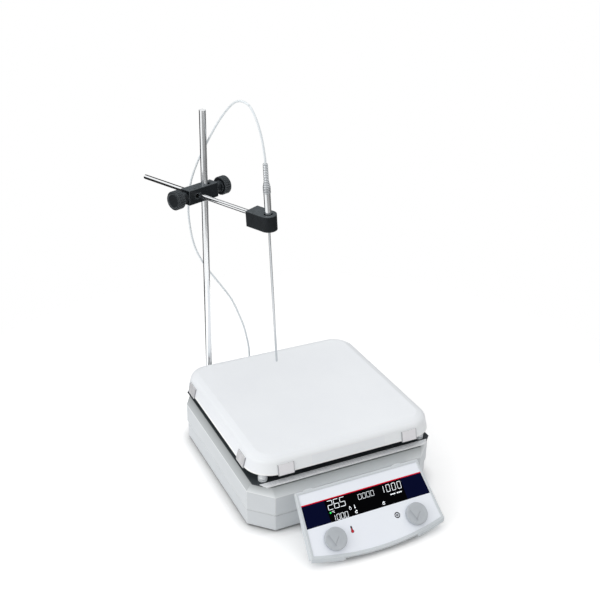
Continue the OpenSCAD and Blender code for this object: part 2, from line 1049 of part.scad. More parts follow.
module display_module() {
    color([0.05, 0.05, 0.06])
    in_console()
        translate([0, disp_mid, 0])
            slab(disp_w - 8, disp_h - 6, board_up, -overlay_t - 0.1);
}

module control_board() {
    color([0.10, 0.36, 0.20])
    in_console()
        translate([0, board_mid, 0])
            slab(2 * neck_half - 8, board_d, board_z, board_up);
}

module encoders() {
    color([0.35, 0.36, 0.38])
    in_console()
        for (x = [-knob_at, knob_at])
            translate([x, knob_y, 0])
                difference() {
                    union() {
                        slab(2 * encoder_half, 2 * encoder_half, board_up, face_under - 0.2);
                        translate([0, 0, face_under - 1])
                            cylinder(r = bush_r, h = -face_under + 1);
                    }
                    translate([0, 0, board_up + 0.5])
                        cylinder(r = 5, h = 3.4);
                    translate([0, 0, board_up + 1])
                        cylinder(r = enc_shaft_r + run_fit, h = 20);
                }
}

module encoder_plunger(x) {
    in_console()
        translate([x, knob_y, plunger_low])
            cylinder(r = 4.4, h = shaft_low - plunger_low);
}

module encoder_shaft(x) {
    in_console()
        translate([x, knob_y, shaft_low])
            cylinder(r = enc_shaft_r, h = 5 - shaft_low);
}

module turn_knob(x) {
    low = push_travel + move_gap;
    kr = knob_d / 2;
    in_console()
        translate([x, knob_y, 0])
            difference() {
                rotate_extrude($fn = 96)
                    polygon([
                        [0, low], [kr, low], [kr, knob_h - 1.2],
                        [kr - 0.5, knob_h - 0.4], [kr - 1.3, knob_h], [0, knob_h]]);
                translate([0, 0, low - 1])
                    cylinder(r = bush_r + 1, h = 2);
                cylinder(r = enc_shaft_r, h = 5);
                rotate([0, 0, facet_turn])
                    translate([facet_from, facet_end - 2 * kr, knob_h])
                        rotate([0, facet_tilt, 0])
                            cube([kr, 2 * kr, knob_h]);
                translate([groove_x, groove_y, knob_h - groove_deep])
                    rotate([0, 0, groove_turn])
                        translate([0, -groove_w / 2, 0])
                            cube([groove_l, groove_w, 2]);
            }
}

module temp_plunger() {
    color([0.75, 0.75, 0.72])
    encoder_plunger(-knob_at);
}

module speed_plunger() {
    color([0.75, 0.75, 0.72])
    encoder_plunger(knob_at);
}

module temp_shaft() {
    color([0.72, 0.73, 0.75])
    encoder_shaft(-knob_at);
}

module speed_shaft() {
    color([0.72, 0.73, 0.75])
    encoder_shaft(knob_at);
}

module temp_knob() {
    color([0.68, 0.70, 0.72])
    turn_knob(-knob_at);
}

module speed_knob() {
    color([0.68, 0.70, 0.72])
    turn_knob(knob_at);
}

module support_rod() {
    color([0.78, 0.79, 0.80])
    translate([rod_x, rod_y, rod_bottom])
        rotate_extrude()
            polygon([
                [0, 0], [rod_r - 0.6, 0], [rod_r, 0.6], [rod_r, rod_top - rod_bottom - 0.6],
                [rod_r - 0.6, rod_top - rod_bottom], [0, rod_top - rod_bottom]]);
}

// boss head coordinates: x along the clamp screws, y along the cross rod away from the probe
module in_clamp() {
    translate([rod_x, rod_y, clamp_z])
        rotate([0, 0, clamp_turn])
            children();
}

module boss_head() {
    bore = rod_r + run_fit;
    cross_bore = cross_r + run_fit;
    color([0.10, 0.10, 0.11])
    in_clamp()
        difference() {
            translate([head_left, -head_w / 2, -head_tall / 2])
                cube([head_right - head_left, head_w, head_tall]);
            translate([0, 0, -head_tall]) {
                cylinder(r = bore, h = 2 * head_tall);
                translate([slot_run, 0, 0])
                    cylinder(r = bore, h = 2 * head_tall);
                translate([0, -bore, 0])
                    cube([slot_run, 2 * bore, 2 * head_tall]);
            }
            translate([-cross_off, head_w, 0])
                rotate([90, 0, 0]) {
                    cylinder(r = cross_bore, h = 2 * head_w);
                    translate([-slot_run, 0, 0])
                        cylinder(r = cross_bore, h = 2 * head_w);
                    translate([-slot_run, -cross_bore, 0])
                        cube([slot_run, 2 * cross_bore, 2 * head_w]);
                }
            rotate([0, 90, 0])
                cylinder(r = clamp_screw_r + screw_fit, h = head_right + 1);
            translate([-cross_off, 0, 0])
                rotate([0, -90, 0])
                    cylinder(r = clamp_screw_r + screw_fit, h = -head_left - cross_off + 1);
            translate([head_right, -head_w, -head_tall / 2])
                rotate([0, 45, 0])
                    cube([5, 2 * head_w, 5], center = false);
        }
}

// one clamp screw points along -x of its own frame; its tip starts at x = 0
module screw_frame(side) {
    in_clamp()
        if (side > 0)
            translate([rod_r + run_fit / 2, 0, 0])
                children();
        else
            translate([-cross_off - cross_r - run_fit / 2, 0, 0])
                mirror([1, 0, 0])
                    children();
}

function screw_reach(side) = side > 0
    ? head_right - rod_r - run_fit / 2
    : -head_left - cross_off - cross_r - run_fit / 2;

module clamp_tip(side) {
    screw_frame(side)
        rotate([0, 90, 0])
            cylinder(r = tip_r, h = tip_t);
}

module clamp_screw(side) {
    screw_frame(side)
        translate([tip_t, 0, 0])
            rotate([0, 90, 0])
                cylinder(r = clamp_screw_r, h = screw_reach(side) + grip_bore - tip_t);
}

module clamp_grip(side) {
    gr = grip_d / 2;
    reach = screw_reach(side);
    screw_frame(side)
        translate([reach, 0, 0])
            rotate([0, 90, 0])
                difference() {
                    rotate_extrude()
                        polygon([
                            [0, neck_gap], [8, neck_gap], [8, grip_out - grip_t], [gr - 1, grip_out - grip_t],
                            [gr, grip_out - grip_t + 1], [gr, grip_out - 1.4], [gr - 1.4, grip_out],
                            [gr - 3.4, grip_out], [gr - 3.8, grip_out - 0.6], [0, grip_out - 0.6]]);
                    cylinder(r = clamp_screw_r, h = grip_bore);
                    for (i = [0:23])
                        rotate([0, 0, i * 15])
                            translate([gr + 0.5, 0, grip_out - grip_t - 1])
                                cylinder(r = 1.2, h = grip_t - 0.5, $fn = 16);
                }
}

module rod_tip() {
    color([0.80, 0.70, 0.45])
    clamp_tip(1);
}

module cross_tip() {
    color([0.80, 0.70, 0.45])
    clamp_tip(-1);
}

module rod_screw() {
    color([0.70, 0.71, 0.73])
    clamp_screw(1);
}

module cross_screw() {
    color([0.70, 0.71, 0.73])
    clamp_screw(-1);
}

module rod_grip() {
    color([0.10, 0.10, 0.11])
    clamp_grip(1);
}

module cross_grip() {
    color([0.10, 0.10, 0.11])
    clamp_grip(-1);
}

module cross_rod() {
    length = cross_back + hold_back + cross_in;
    color([0.80, 0.81, 0.82])
    in_clamp()
        translate([-cross_off, cross_back, 0])
            rotate([90, 0, 0])
                rotate_extrude()
                    polygon([
                        [0, 0], [cross_r - 0.5, 0], [cross_r, 0.5], [cross_r, length], [0, length]]);
}

// holder coordinates: origin on the cross rod, z up along the tilted probe
module in_holder() {
    in_clamp()
        translate([-cross_off, 0, 0])
            rotate([0, -probe_tilt, 0])
                children();
}

module probe_holder() {
    color([0.10, 0.10, 0.11])
    in_holder()
        difference() {
            union() {
                translate([-hold_w / 2, -probe_at, hold_up - hold_h])
                    cube([hold_w, probe_at - hold_back, hold_h]);
                translate([0, -probe_at, hold_up - hold_h])
                    cylinder(r = hold_w / 2, h = hold_h);
            }
            translate([0, -probe_at, seat_low])
                cylinder(r = handle_d / 2 + 1.6, h = bore_deep + 1);
            translate([0, -probe_at, -hold_h])
                cylinder(r = stem_d / 2 + move_gap, h = 2 * hold_h);
            translate([0, -hold_back + 1, 0])
                rotate([90, 0, 0])
                    cylinder(r = cross_r, h = cross_in + 1);
        }
}

module on_probe() {
    in_holder()
        translate([0, -probe_at, 0])
            children();
}

module probe_handle() {
    hr = handle_d / 2;
    color([0.78, 0.79, 0.80])
    on_probe()
        difference() {
            rotate_extrude()
                polygon([
                    [0, seat_low], [hr - 0.8, seat_low], [hr, seat_low + 0.8], [hr, sleeve_low],
                    [2.6, sleeve_low], [2.6, sleeve_low + 10], [0, sleeve_low + 10]]);
            translate([0, 0, seat_low - 1])
                cylinder(r = stem_d / 2, h = 13);
        }
}

module probe_stem() {
    tip = stem_d / 2;
    color([0.76, 0.77, 0.78])
    on_probe()
        rotate_extrude()
            polygon([
                [0, -stem_len], [tip * 0.6, -stem_len], [tip, -stem_len + tip],
                [tip, seat_low + 12], [0, seat_low + 12]]);
}

module probe_sleeve() {
    fr = flare_d / 2;
    sr = sleeve_d / 2;
    ribs = 10;
    rib_from = sleeve_neck + 1;
    rib_step = (sleeve_top - 1 - rib_from) / ribs;
    color([0.60, 0.61, 0.62])
    on_probe()
        rotate_extrude()
            polygon(concat(
                [[2.6, sleeve_low], [fr - 0.5, sleeve_low], [fr, sleeve_low + 0.5],
                 [fr, sleeve_low + 9], [sr, sleeve_neck]],
                [for (i = [0:ribs - 1]) for (k = [0:1])
                    [sr - 0.5 * k, rib_from + (i + 0.5 * k) * rib_step]],
                [[sr, sleeve_top - 1], [sr - 0.8, sleeve_top], [cable_r + cable_fit, sleeve_top],
                 [cable_r + cable_fit, sleeve_low + 10], [2.6, sleeve_low + 10]]));
}

// smooth curve through four neighbouring points
function curve(a, b, c, d, t) =
    0.5 * (2 * b + (c - a) * t + (2 * a - 5 * b + 4 * c - d) * t * t
    + (3 * b - a - 3 * c + d) * t * t * t);

function path_point(path, i) = path[max(0, min(len(path) - 1, i))];

function fine_path(path, steps) = concat(
    [for (i = [0:len(path) - 2]) for (k = [0:steps - 1])
        curve(path_point(path, i - 1), path[i], path[i + 1], path_point(path, i + 2), k / steps)],
    [path[len(path) - 1]]);

function unit(v) = v / norm(v);

function tangent(path, i) =
    unit(path_point(path, i + 1) - path_point(path, i - 1));

function tube_ring(centre, along, r, sides) =
    let (a = unit(cross(along, [1, 0, 0])), b = cross(along, a))
    [for (k = [0:sides - 1])
        centre + r * (cos(k * 360 / sides) * a + sin(k * 360 / sides) * b)];

module tube(path, r, sides) {
    rings = len(path);
    points = [for (i = [0:rings - 1]) each tube_ring(path[i], tangent(path, i), r, sides)];
    skin = [for (i = [0:rings - 2]) for (k = [0:sides - 1])
        let (a = i * sides + k, b = i * sides + (k + 1) % sides)
        each [[a, b, b + sides], [a, b + sides, a + sides]]];
    first = [for (k = [1:sides - 2]) [0, k + 1, k]];
    last = [for (k = [1:sides - 2]) (rings - 1) * sides * [1, 1, 1] + [0, k, k + 1]];
    polyhedron(points, concat(skin, first, last));
}

module probe_cable() {
    color([0.90, 0.91, 0.92])
    tube(fine_path(cable_path, cable_steps), cable_r, cable_sides);
}

base_tray();
rubber_feet();
upper_body();
body_screws();
heat_shield();
front_strip();
plate_pillars();
top_plate();
plate_clips();
heating_element();
insulation_pad();
plate_sensor();
motor_bracket();
motor_can();
motor_stator();
motor_bearings();
motor_rotor();
motor_shaft();
magnet_holder();
drive_magnets();
power_board();
board_standoffs();
mains_inlet();
inlet_pins();
switch_frame();
switch_rocker();
probe_socket();
console_tray();
console_bezel();
console_overlay();
display_window();
display_module();
control_board();
encoders();
temp_plunger();
temp_shaft();
temp_knob();
speed_plunger();
speed_shaft();
speed_knob();
console_screws();
support_rod();
boss_head();
rod_tip();
rod_screw();
rod_grip();
cross_tip();
cross_screw();
cross_grip();
cross_rod();
probe_holder();
probe_handle();
probe_stem();
probe_sleeve();
probe_cable();
probe_plug();
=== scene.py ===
import math

import bpy
from mathutils import Matrix, Vector


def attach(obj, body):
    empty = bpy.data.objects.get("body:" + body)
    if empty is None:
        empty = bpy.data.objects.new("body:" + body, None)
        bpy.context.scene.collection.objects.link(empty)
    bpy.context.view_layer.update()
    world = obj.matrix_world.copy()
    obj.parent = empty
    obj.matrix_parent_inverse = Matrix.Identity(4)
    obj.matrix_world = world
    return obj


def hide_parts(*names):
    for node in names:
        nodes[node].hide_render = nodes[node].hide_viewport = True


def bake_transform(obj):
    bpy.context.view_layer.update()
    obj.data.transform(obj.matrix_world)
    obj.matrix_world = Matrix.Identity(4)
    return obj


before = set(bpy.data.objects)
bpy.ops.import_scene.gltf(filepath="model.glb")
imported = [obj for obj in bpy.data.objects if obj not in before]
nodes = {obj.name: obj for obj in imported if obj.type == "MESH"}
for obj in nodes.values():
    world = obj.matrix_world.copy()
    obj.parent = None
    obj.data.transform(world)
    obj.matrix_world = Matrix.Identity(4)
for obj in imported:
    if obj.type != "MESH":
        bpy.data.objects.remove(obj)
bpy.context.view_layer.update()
scene = bpy.context.scene
scene.view_settings.view_transform = "Standard"

viewSet = {
    "place": (-0.54686, -1.08759, 0.86217),  # metres
    "azimuth": -26.243,  # degrees round the stirrer
    "elevation": 26.017,
    "roll": 1.2006,
    "focal": 943.01,  # in pixels of the picture
    "picture": 600,  # pixels across
    "sensor": 36,  # mm across
}


def aimCamera(s):
    around, above, roll = [math.radians(s[key]) for key in ("azimuth", "elevation", "roll")]
    back = Vector((math.sin(around) * math.cos(above), -math.cos(around) * math.cos(above), math.sin(above)))
    right = Vector((math.cos(around), math.sin(around), 0))
    up = back.cross(right)
    turn = Matrix((
        math.cos(roll) * right + math.sin(roll) * up,
        math.cos(roll) * up - math.sin(roll) * right,
        back,
    )).transposed()
    lens = bpy.data.cameras.new("frontLens")
    lens.sensor_fit = "HORIZONTAL"
    lens.sensor_width = s["sensor"]
    lens.lens = s["sensor"] * s["focal"] / s["picture"]
    camera = bpy.data.objects.new("frontCamera", lens)
    camera.matrix_world = Matrix.Translation(s["place"]) @ turn.to_4x4()
    scene.collection.objects.link(camera)
    scene.camera = camera


aimCamera(viewSet)
print("camera placed")


def addPiece(name, points, faces, smooth=False):
    mesh = bpy.data.meshes.new(name)
    mesh.from_pydata(points, [], faces)
    mesh.update()
    if smooth:
        mesh.polygons.foreach_set("use_smooth", [True] * len(mesh.polygons))
    piece = bpy.data.objects.new(name, mesh)
    scene.collection.objects.link(piece)
    return piece


# The probe's lead, from the sleeve over the top and behind the rod to the plug in the rear wall
leadSet = {
    "thick": 0.003,  # metres
    "sides": 14,
    "steps": 6,  # rings between two route points
    "route": [  # mm
        (-57.35, 18.06, 469.73), (-57.82, 17.86, 475.71), (-58.28, 17.66, 481.69),
        (-60, 24, 506), (-63, 35, 529), (-65, 53, 543), (-68, 75, 545), (-70, 98, 537),
        (-73, 121, 520), (-77, 144, 497), (-84, 164, 468), (-94, 177, 438), (-101, 184, 414),
        (-105, 187, 396), (-109, 188, 361), (-108, 188, 336), (-105, 187, 312), (-99, 186, 289),
        (-89, 185, 268), (-77, 185, 248), (-60, 185, 223), (-43, 185, 196), (-31, 185, 168),
        (-20, 186, 137), (-11, 190, 98), (-7, 197, 68), (-6, 200, 54), (-6, 195, 46),
        (-6, 186, 44.4), (-6, 180, 44.4),
    ],
    # name, first and last route point from the plug, the two bodies, start and end of the bend (mm)
    "spans": [
        ("leadLow", 0, 11, "base", "rod", (-6, 192, 75), (-80, 185, 253)),
        ("leadUp", 11, 16, "rod", "head", (-92, 185, 275), (-105, 187, 390)),
        ("leadArch", 16, 24, "head", "arm", (-77, 140, 500), (-65, 54, 543)),
        ("leadTop", 24, 29, "arm", "probe", (-64.8, 52, 542.5), (-58, 17.8, 478)),
    ],
}


def curvePoints(knots, steps):  # smooth curve through every knot
    ends = [knots[0] * 2 - knots[1]] + knots + [knots[-1] * 2 - knots[-2]]
    path = []
    for i in range(1, len(ends) - 2):
        a, b, c, d = ends[i - 1:i + 3]
        for k in range(steps):
            u = k / steps
            bend = (2 * a - 5 * b + 4 * c - d) * u ** 2 + (3 * b - a - 3 * c + d) * u ** 3
            path.append(0.5 * (2 * b + (c - a) * u + bend))
    return path + [knots[-1]]


def ringsAlong(path, radius, sides):  # rings square to the path, carried along without a twist
    turns = [2 * math.pi * k / sides for k in range(sides)]
    ahead = (path[1] - path[0]).normalized()
    side = ahead.orthogonal().normalized()
    rings = []
    for i, middle in enumerate(path):
        heading = (path[min(i + 1, len(path) - 1)] - path[max(i - 1, 0)]).normalized()
        side = ahead.rotation_difference(heading) @ side
        ahead = heading
        other = heading.cross(side)
        rings.append([middle + radius * (math.cos(a) * side + math.sin(a) * other) for a in turns])
    return rings


def skinRings(rings):  # tube over the rings, closed at both ends
    sides = len(rings[0])
    faces = [
        (i * sides + k, i * sides + (k + 1) % sides, (i + 1) * sides + (k + 1) % sides, (i + 1) * sides + k)
        for i in range(len(rings) - 1) for k in range(sides)
    ]
    count = len(rings) * sides
    caps = [tuple(reversed(range(sides))), tuple(range(count - sides, count))]
    return [p for ring in rings for p in ring], faces + caps


def layLead(s):
    knots = [Vector(p) / 1000 for p in reversed(s["route"])]
    path = curvePoints(knots, s["steps"])
    rings = ringsAlong(path, s["thick"] / 2, s["sides"])
    made, total = [], 0
    for name, first, last, carrier, mover, start, end in s["spans"]:
        low, high = first * s["steps"], last * s["steps"] + 1
        middles = path[low:high]
        length = sum((b - a).length for a, b in zip(middles, middles[1:]))
        points, faces = skinRings(rings[low:high])
        piece = addPiece(name, points, faces, smooth=True)
        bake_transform(piece)
        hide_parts("probe_cable")
        made.append(piece)
        total += length
    print("lead laid:", round(total, 3), "m in", len(made), "spans")
    return made


leadPieces = layLead(leadSet)


# Helpers for the finishes

def tint(red, green, blue):  # screen colour to the shader's own scale
    return [((c / 255 + 0.055) / 1.055) ** 2.4 if c > 10 else c / 3294.6 for c in (red, green, blue)] + [1.0]


def addNode(tree, kind, links=None, **settings):
    made = tree.nodes.new("ShaderNode" + kind)
    for key, value in settings.items():
        setattr(made, key, value)
    for key, value in (links or {}).items():
        if isinstance(value, bpy.types.NodeSocket):
            tree.links.new(value, made.inputs[key])
        else:
            made.inputs[key].default_value = value
    return made


def mixTints(tree, amount, first, second):
    made = addNode(tree, "Mix", {0: amount, 6: first, 7: second}, data_type="RGBA")
    return made.outputs[2]


def spanOf(tree, value, low, high, outLow=0.0, outHigh=1.0):
    links = {"Value": value, "From Min": low, "From Max": high, "To Min": outLow, "To Max": outHigh}
    return addNode(tree, "MapRange", links).outputs["Result"]


def mathOf(tree, operation, first, second=0.0):
    return addNode(tree, "Math", {0: first, 1: second}, operation=operation).outputs[0]


def alongAxis(tree, place, axis):
    return addNode(tree, "VectorMath", {0: place, 1: axis}, operation="DOT_PRODUCT").outputs["Value"]


def heightOf(tree, place):
    return alongAxis(tree, place, (0, 0, 1))


def facingTo(tree, axis):  # 1 where a face looks along the axis, 0 where it looks aside
    return alongAxis(tree, addNode(tree, "NewGeometry").outputs["Normal"], axis)


finishSet = {
    "noiseRough": 0.6,
    "cloudDetail": 5.0, "cloudSpan": (0.3, 0.7),  # broad drift of the colour
    "grainDetail": 3.0, "grainSpan": (0.25, 0.75),  # fine texture of the surface
    "fleckDetail": 2.0, "fleckSpan": (0.62, 0.72),
    "frontLightSpan": (0.3, 0.95),
    "edgeSamples": 6, "edgeSpan": (0.995, 0.85), "rubbedHighlightSpan": (0.0, 0.35),
    "topLightSpan": (0.5, 0.9), "patchSpan": (0.2, 0.6), "patchLevels": (0.6, 1.0),
}


def noiseOf(tree, place, scale, detail):
    links = {"Vector": place, "Scale": scale, "Detail": detail, "Roughness": finishSet["noiseRough"]}
    return addNode(tree, "TexNoise", links).outputs["Fac"]


def buildFinish(name, look, printed=None):
    s = finishSet
    stuff = bpy.data.materials.new(name)
    stuff.use_nodes = True
    tree = stuff.node_tree
    shader = tree.nodes["Principled BSDF"]
    for socket, value in look.get("fixed", {}).items():
        shader.inputs[socket].default_value = value
    place = addNode(tree, "TexCoord").outputs["Object"]
    stretch = look.get("stretch", (1, 1, 1))
    spread = addNode(tree, "Mapping", {"Vector": place, "Scale": stretch}).outputs["Vector"]
    cloud = noiseOf(tree, spread, look["cloud"], s["cloudDetail"])
    grain = noiseOf(tree, spread, look["grain"], s["grainDetail"])
    colour = mixTints(tree, spanOf(tree, cloud, *s["cloudSpan"]), tint(*look["deep"]), tint(*look["pale"]))
    if "fleck" in look:  # fine specks
        scale, most = look["fleck"]
        speck = noiseOf(tree, place, scale, s["fleckDetail"])
        amount = spanOf(tree, speck, *s["fleckSpan"], 0.0, most)
        colour = mixTints(tree, amount, colour, tint(*look["fleckTint"]))
    if "front" in look:  # painted light: faces toward the front get a lighter colour
        amount = spanOf(tree, facingTo(tree, (0, -1, 0)), *s["frontLightSpan"])
        colour = mixTints(tree, amount, colour, tint(*look["front"]))
    normal = None
    if "edge" in look:  # rounded edges from the bevel normal, painted lighter there: a painted highlight and a little wear
        normal = addNode(tree, "Bevel", {"Radius": look["edge"]}, samples=s["edgeSamples"]).outputs["Normal"]
        turned = spanOf(tree, facingTo(tree, normal), *s["edgeSpan"], 0.0, look["rubbedHighlightAmount"])
        rubbedHighlight = mathOf(tree, "MULTIPLY", turned, spanOf(tree, grain, *s["rubbedHighlightSpan"]))
        colour = mixTints(tree, rubbedHighlight, colour, tint(*look["rubbedHighlightTint"]))
    if printed:
        colour = printed(tree, place, colour)
    if "paintedTopLight" in look:  # painted light: faces that look up are painted lighter, in patches
        level = spanOf(tree, facingTo(tree, (0, 0, 1)), *s["topLightSpan"])
        patchy = spanOf(tree, cloud, *s["patchSpan"], *s["patchLevels"])
        colour = mixTints(tree, mathOf(tree, "MULTIPLY", level, patchy), colour, tint(*look["paintedTopLight"]))
    tree.links.new(colour, shader.inputs["Base Color"])
    tree.links.new(spanOf(tree, grain, *s["grainSpan"], *look["rough"]), shader.inputs["Roughness"])
    bump = {"Height": grain, "Strength": look["bump"], "Distance": look["depth"]}
    if normal:
        bump["Normal"] = normal
    tree.links.new(addNode(tree, "Bump", bump).outputs["Normal"], shader.inputs["Normal"])
    return stuff


def wear(stuff, *names):
    for name in names:
        holders = nodes[name].material_slots
        if not len(holders):
            nodes[name].data.materials.append(stuff)
        for holder in holders:
            holder.material = stuff


# Painted castings and mouldings
shellLook = {
    "deep": (210, 214, 217), "pale": (216, 220, 223), "cloud": 7.0, "grain": 1300.0,
    "rough": (0.45, 0.58), "bump": 0.25, "depth": 0.00002,
    # edge tint: painted highlight with a little wear
    "edge": 0.0032, "rubbedHighlightAmount": 1.0, "rubbedHighlightTint": (248, 250, 251),
    "fixed": {"Specular IOR Level": 0.25},
    # ledge tints darken towards the rim: partly the ledge's own tone, partly painted shade under the plate;
    # the front ledge tints are painted light; the crease tint is a painted highlight
    "ledge": (164, 168, 169), "ledgeLow": (192, 196, 198), "ledgeFrom": 0.0597, "ledgeTo": 0.0603,
    "frontLedge": (174, 178, 179), "frontLedgeLow": (228, 232, 234), "frontLedgeSpan": (0.1, 0.5),
    "rim": 0.0725, "crease": 0.0594, "creaseHalf": 0.0008, "paintedCreaseShading": (246, 248, 249),
}


def ledgeShade(tree, place, colour):  # the sloping ledge, darker up to the rim: partly its own tone, partly painted shade under the plate; painted light makes the front ledge lighter, and a painted highlight runs along the crease below
    s = shellLook
    height = heightOf(tree, place)
    above = spanOf(tree, height, s["ledgeFrom"], s["ledgeTo"])
    rise = spanOf(tree, height, s["ledgeFrom"], s["rim"])
    front = spanOf(tree, facingTo(tree, (0, -1, 0)), *s["frontLedgeSpan"])
    low = mixTints(tree, front, tint(*s["ledgeLow"]), tint(*s["frontLedgeLow"]))
    high = mixTints(tree, front, tint(*s["ledge"]), tint(*s["frontLedge"]))
    shaded = mixTints(tree, above, colour, mixTints(tree, rise, low, high))
    off = mathOf(tree, "ABSOLUTE", mathOf(tree, "SUBTRACT", height, s["crease"]))
    return mixTints(tree, spanOf(tree, off, s["creaseHalf"], 0.0), shaded, tint(*s["paintedCreaseShading"]))


wear(buildFinish("bodyPaint", shellLook, ledgeShade), "upper_body")

trayLook = {
    "deep": (208, 212, 215), "pale": (214, 218, 221), "cloud": 8.0, "grain": 1100.0,
    "rough": (0.45, 0.58), "bump": 0.3, "depth": 0.00002,
    # edge tint: painted highlight with a little wear
    "edge": 0.0026, "rubbedHighlightAmount": 0.9, "rubbedHighlightTint": (240, 243, 246),
    "fixed": {"Specular IOR Level": 0.25},
    "seam": 0.0284, "seamLow": 0.0266, "seamTint": (166, 170, 174),
}


def seamShade(tree, place, colour):  # shade under the body's edge
    s = trayLook
    amount = spanOf(tree, heightOf(tree, place), s["seamLow"], s["seam"])
    return mixTints(tree, amount, colour, tint(*s["seamTint"]))


wear(buildFinish("trayMoulding", trayLook, seamShade), "base_tray")
wear(buildFinish("neckMoulding", trayLook), "console_tray")

bezelLook = {
    "deep": (208, 214, 218), "pale": (212, 218, 222), "cloud": 14.0, "grain": 1500.0,
    "rough": (0.42, 0.54), "bump": 0.25, "depth": 0.00002,
    # edge tint: painted highlight with a little wear
    "edge": 0.0018, "rubbedHighlightAmount": 0.9, "rubbedHighlightTint": (244, 247, 249),
    "fixed": {"Specular IOR Level": 0.25},
}
wear(buildFinish("bezelMoulding", bezelLook), "console_bezel")

# Enamelled top with a flat panel in the middle of its front skirt
enamelLook = {
    "deep": (237, 240, 244), "pale": (242, 245, 248), "cloud": 5.0, "grain": 900.0,
    # edge tint: painted highlight with a little wear; front: painted light
    "rough": (0.32, 0.46), "bump": 0.2, "depth": 0.00002, "edge": 0.001, "rubbedHighlightAmount": 0.7, "rubbedHighlightTint": (250, 251, 252),
    "fleck": (2600.0, 0.12), "fleckTint": (214, 218, 222),
    "fixed": {"Specular IOR Level": 0.35}, "front": (249, 252, 254),
    # the panel tint is painted shade, the line and hem tints painted highlights
    "panelHalf": 0.058, "panelTop": 0.1072, "panelLine": 0.0005, "panelFront": -0.138,
    "panelShade": (246, 249, 252), "panelHighlight": (255, 255, 255),
    "hemFrom": 0.0944, "hemTo": 0.0937, "hemHighlight": (254, 255, 255),
}


def skirtPanel(tree, place, colour):  # painted shading: a panel a shade darker inside a painted highlight line, and a painted highlight along the skirt's lower edge
    s = enamelLook
    height = heightOf(tree, place)
    aside = mathOf(tree, "ABSOLUTE", alongAxis(tree, place, (1, 0, 0)))
    front = mathOf(tree, "LESS_THAN", alongAxis(tree, place, (0, 1, 0)), s["panelFront"])

    def within(edge):
        across = mathOf(tree, "LESS_THAN", aside, s["panelHalf"] + edge)
        below = mathOf(tree, "LESS_THAN", height, s["panelTop"] + edge)
        return mathOf(tree, "MULTIPLY", mathOf(tree, "MULTIPLY", across, below), front)

    framed = mixTints(tree, within(s["panelLine"]), colour, tint(*s["panelHighlight"]))
    panelled = mixTints(tree, within(0.0), framed, tint(*s["panelShade"]))
    highlightBand = spanOf(tree, height, s["hemFrom"], s["hemTo"])
    return mixTints(tree, highlightBand, panelled, tint(*s["hemHighlight"]))


wear(buildFinish("plateEnamel", enamelLook, skirtPanel), "top_plate")

shieldLook = {
    "deep": (52, 57, 61), "pale": (66, 71, 75), "cloud": 30.0, "grain": 900.0,
    # edge tint: painted highlight with a little wear
    "rough": (0.5, 0.7), "bump": 0.4, "depth": 0.00004, "edge": 0.0005, "rubbedHighlightAmount": 0.4, "rubbedHighlightTint": (90, 94, 98),
    "fixed": {"Specular IOR Level": 0.2},
    # painted shade under the plate, near-black on the raised middle
    "underPlateShade": (13, 15, 17), "underPlateShadeFrom": 0.0767, "underPlateShadeTo": 0.0772,
}


def shieldUnderPlateShade(tree, place, colour):  # painted shade: the raised middle under the plate is darker than the sheet
    s = shieldLook
    above = spanOf(tree, heightOf(tree, place), s["underPlateShadeFrom"], s["underPlateShadeTo"])
    return mixTints(tree, above, colour, tint(*s["underPlateShade"]))


wear(buildFinish("shieldBlack", shieldLook, shieldUnderPlateShade), "heat_shield")

# Metals
clipLook = {
    "deep": (188, 188, 190), "pale": (207, 207, 209), "cloud": 130.0, "grain": 700.0, "stretch": (1, 1, 0.4),
    "rough": (0.4, 0.58), "bump": 0.4, "depth": 0.00003,
    # edge tint: painted highlight with a little wear; front: painted light
    "edge": 0.0014, "rubbedHighlightAmount": 1.0, "rubbedHighlightTint": (250, 250, 251),
    "fixed": {"Metallic": 0.15}, "front": (242, 241, 244),
    # each clip's middle from the plate's middle, and the painted shade along the clip's sides
    "at": 0.097, "rimFrom": 0.0108, "rimTo": 0.0116, "rimShade": (172, 173, 177),
}


def clipSideShade(tree, place, colour):  # painted shade along the sides of the clips, on all four sides of the plate
    s = clipLook
    sides = [mathOf(tree, "ABSOLUTE", alongAxis(tree, place, axis)) for axis in ((1, 0, 0), (0, 1, 0))]
    aside = mathOf(tree, "SUBTRACT", mathOf(tree, "MINIMUM", *sides), s["at"])
    rim = spanOf(tree, mathOf(tree, "ABSOLUTE", aside), s["rimFrom"], s["rimTo"])
    return mixTints(tree, rim, colour, tint(*s["rimShade"]))


wear(buildFinish("clipSteel", clipLook, clipSideShade), "plate_clips")

stripLook = {
    "deep": (228, 231, 235), "pale": (251, 253, 255), "cloud": 160.0, "grain": 900.0,
    "stretch": (4, 0.25, 1), "rough": (0.38, 0.54), "bump": 0.35, "depth": 0.00003,
    # edge tint: painted highlight with a little wear
    "edge": 0.0016, "rubbedHighlightAmount": 1.0, "rubbedHighlightTint": (252, 253, 254),
    "fixed": {"Specular IOR Level": 0.4},
}
wear(buildFinish("stripSteel", stripLook), "front_strip")

rodLook = {
    "deep": (240, 243, 245), "pale": (250, 251, 252), "cloud": 40.0, "grain": 500.0, "stretch": (3, 3, 0.15),
    "rough": (0.09, 0.14), "bump": 0.02, "depth": 0.00001,
    "fixed": {"Metallic": 1.0},
}
wear(buildFinish("rodSteel", rodLook), "support_rod", "probe_handle")
stemLook = dict(rodLook, deep=(192, 196, 199), pale=(212, 215, 218))
wear(buildFinish("stemSteel", stemLook), "probe_stem")

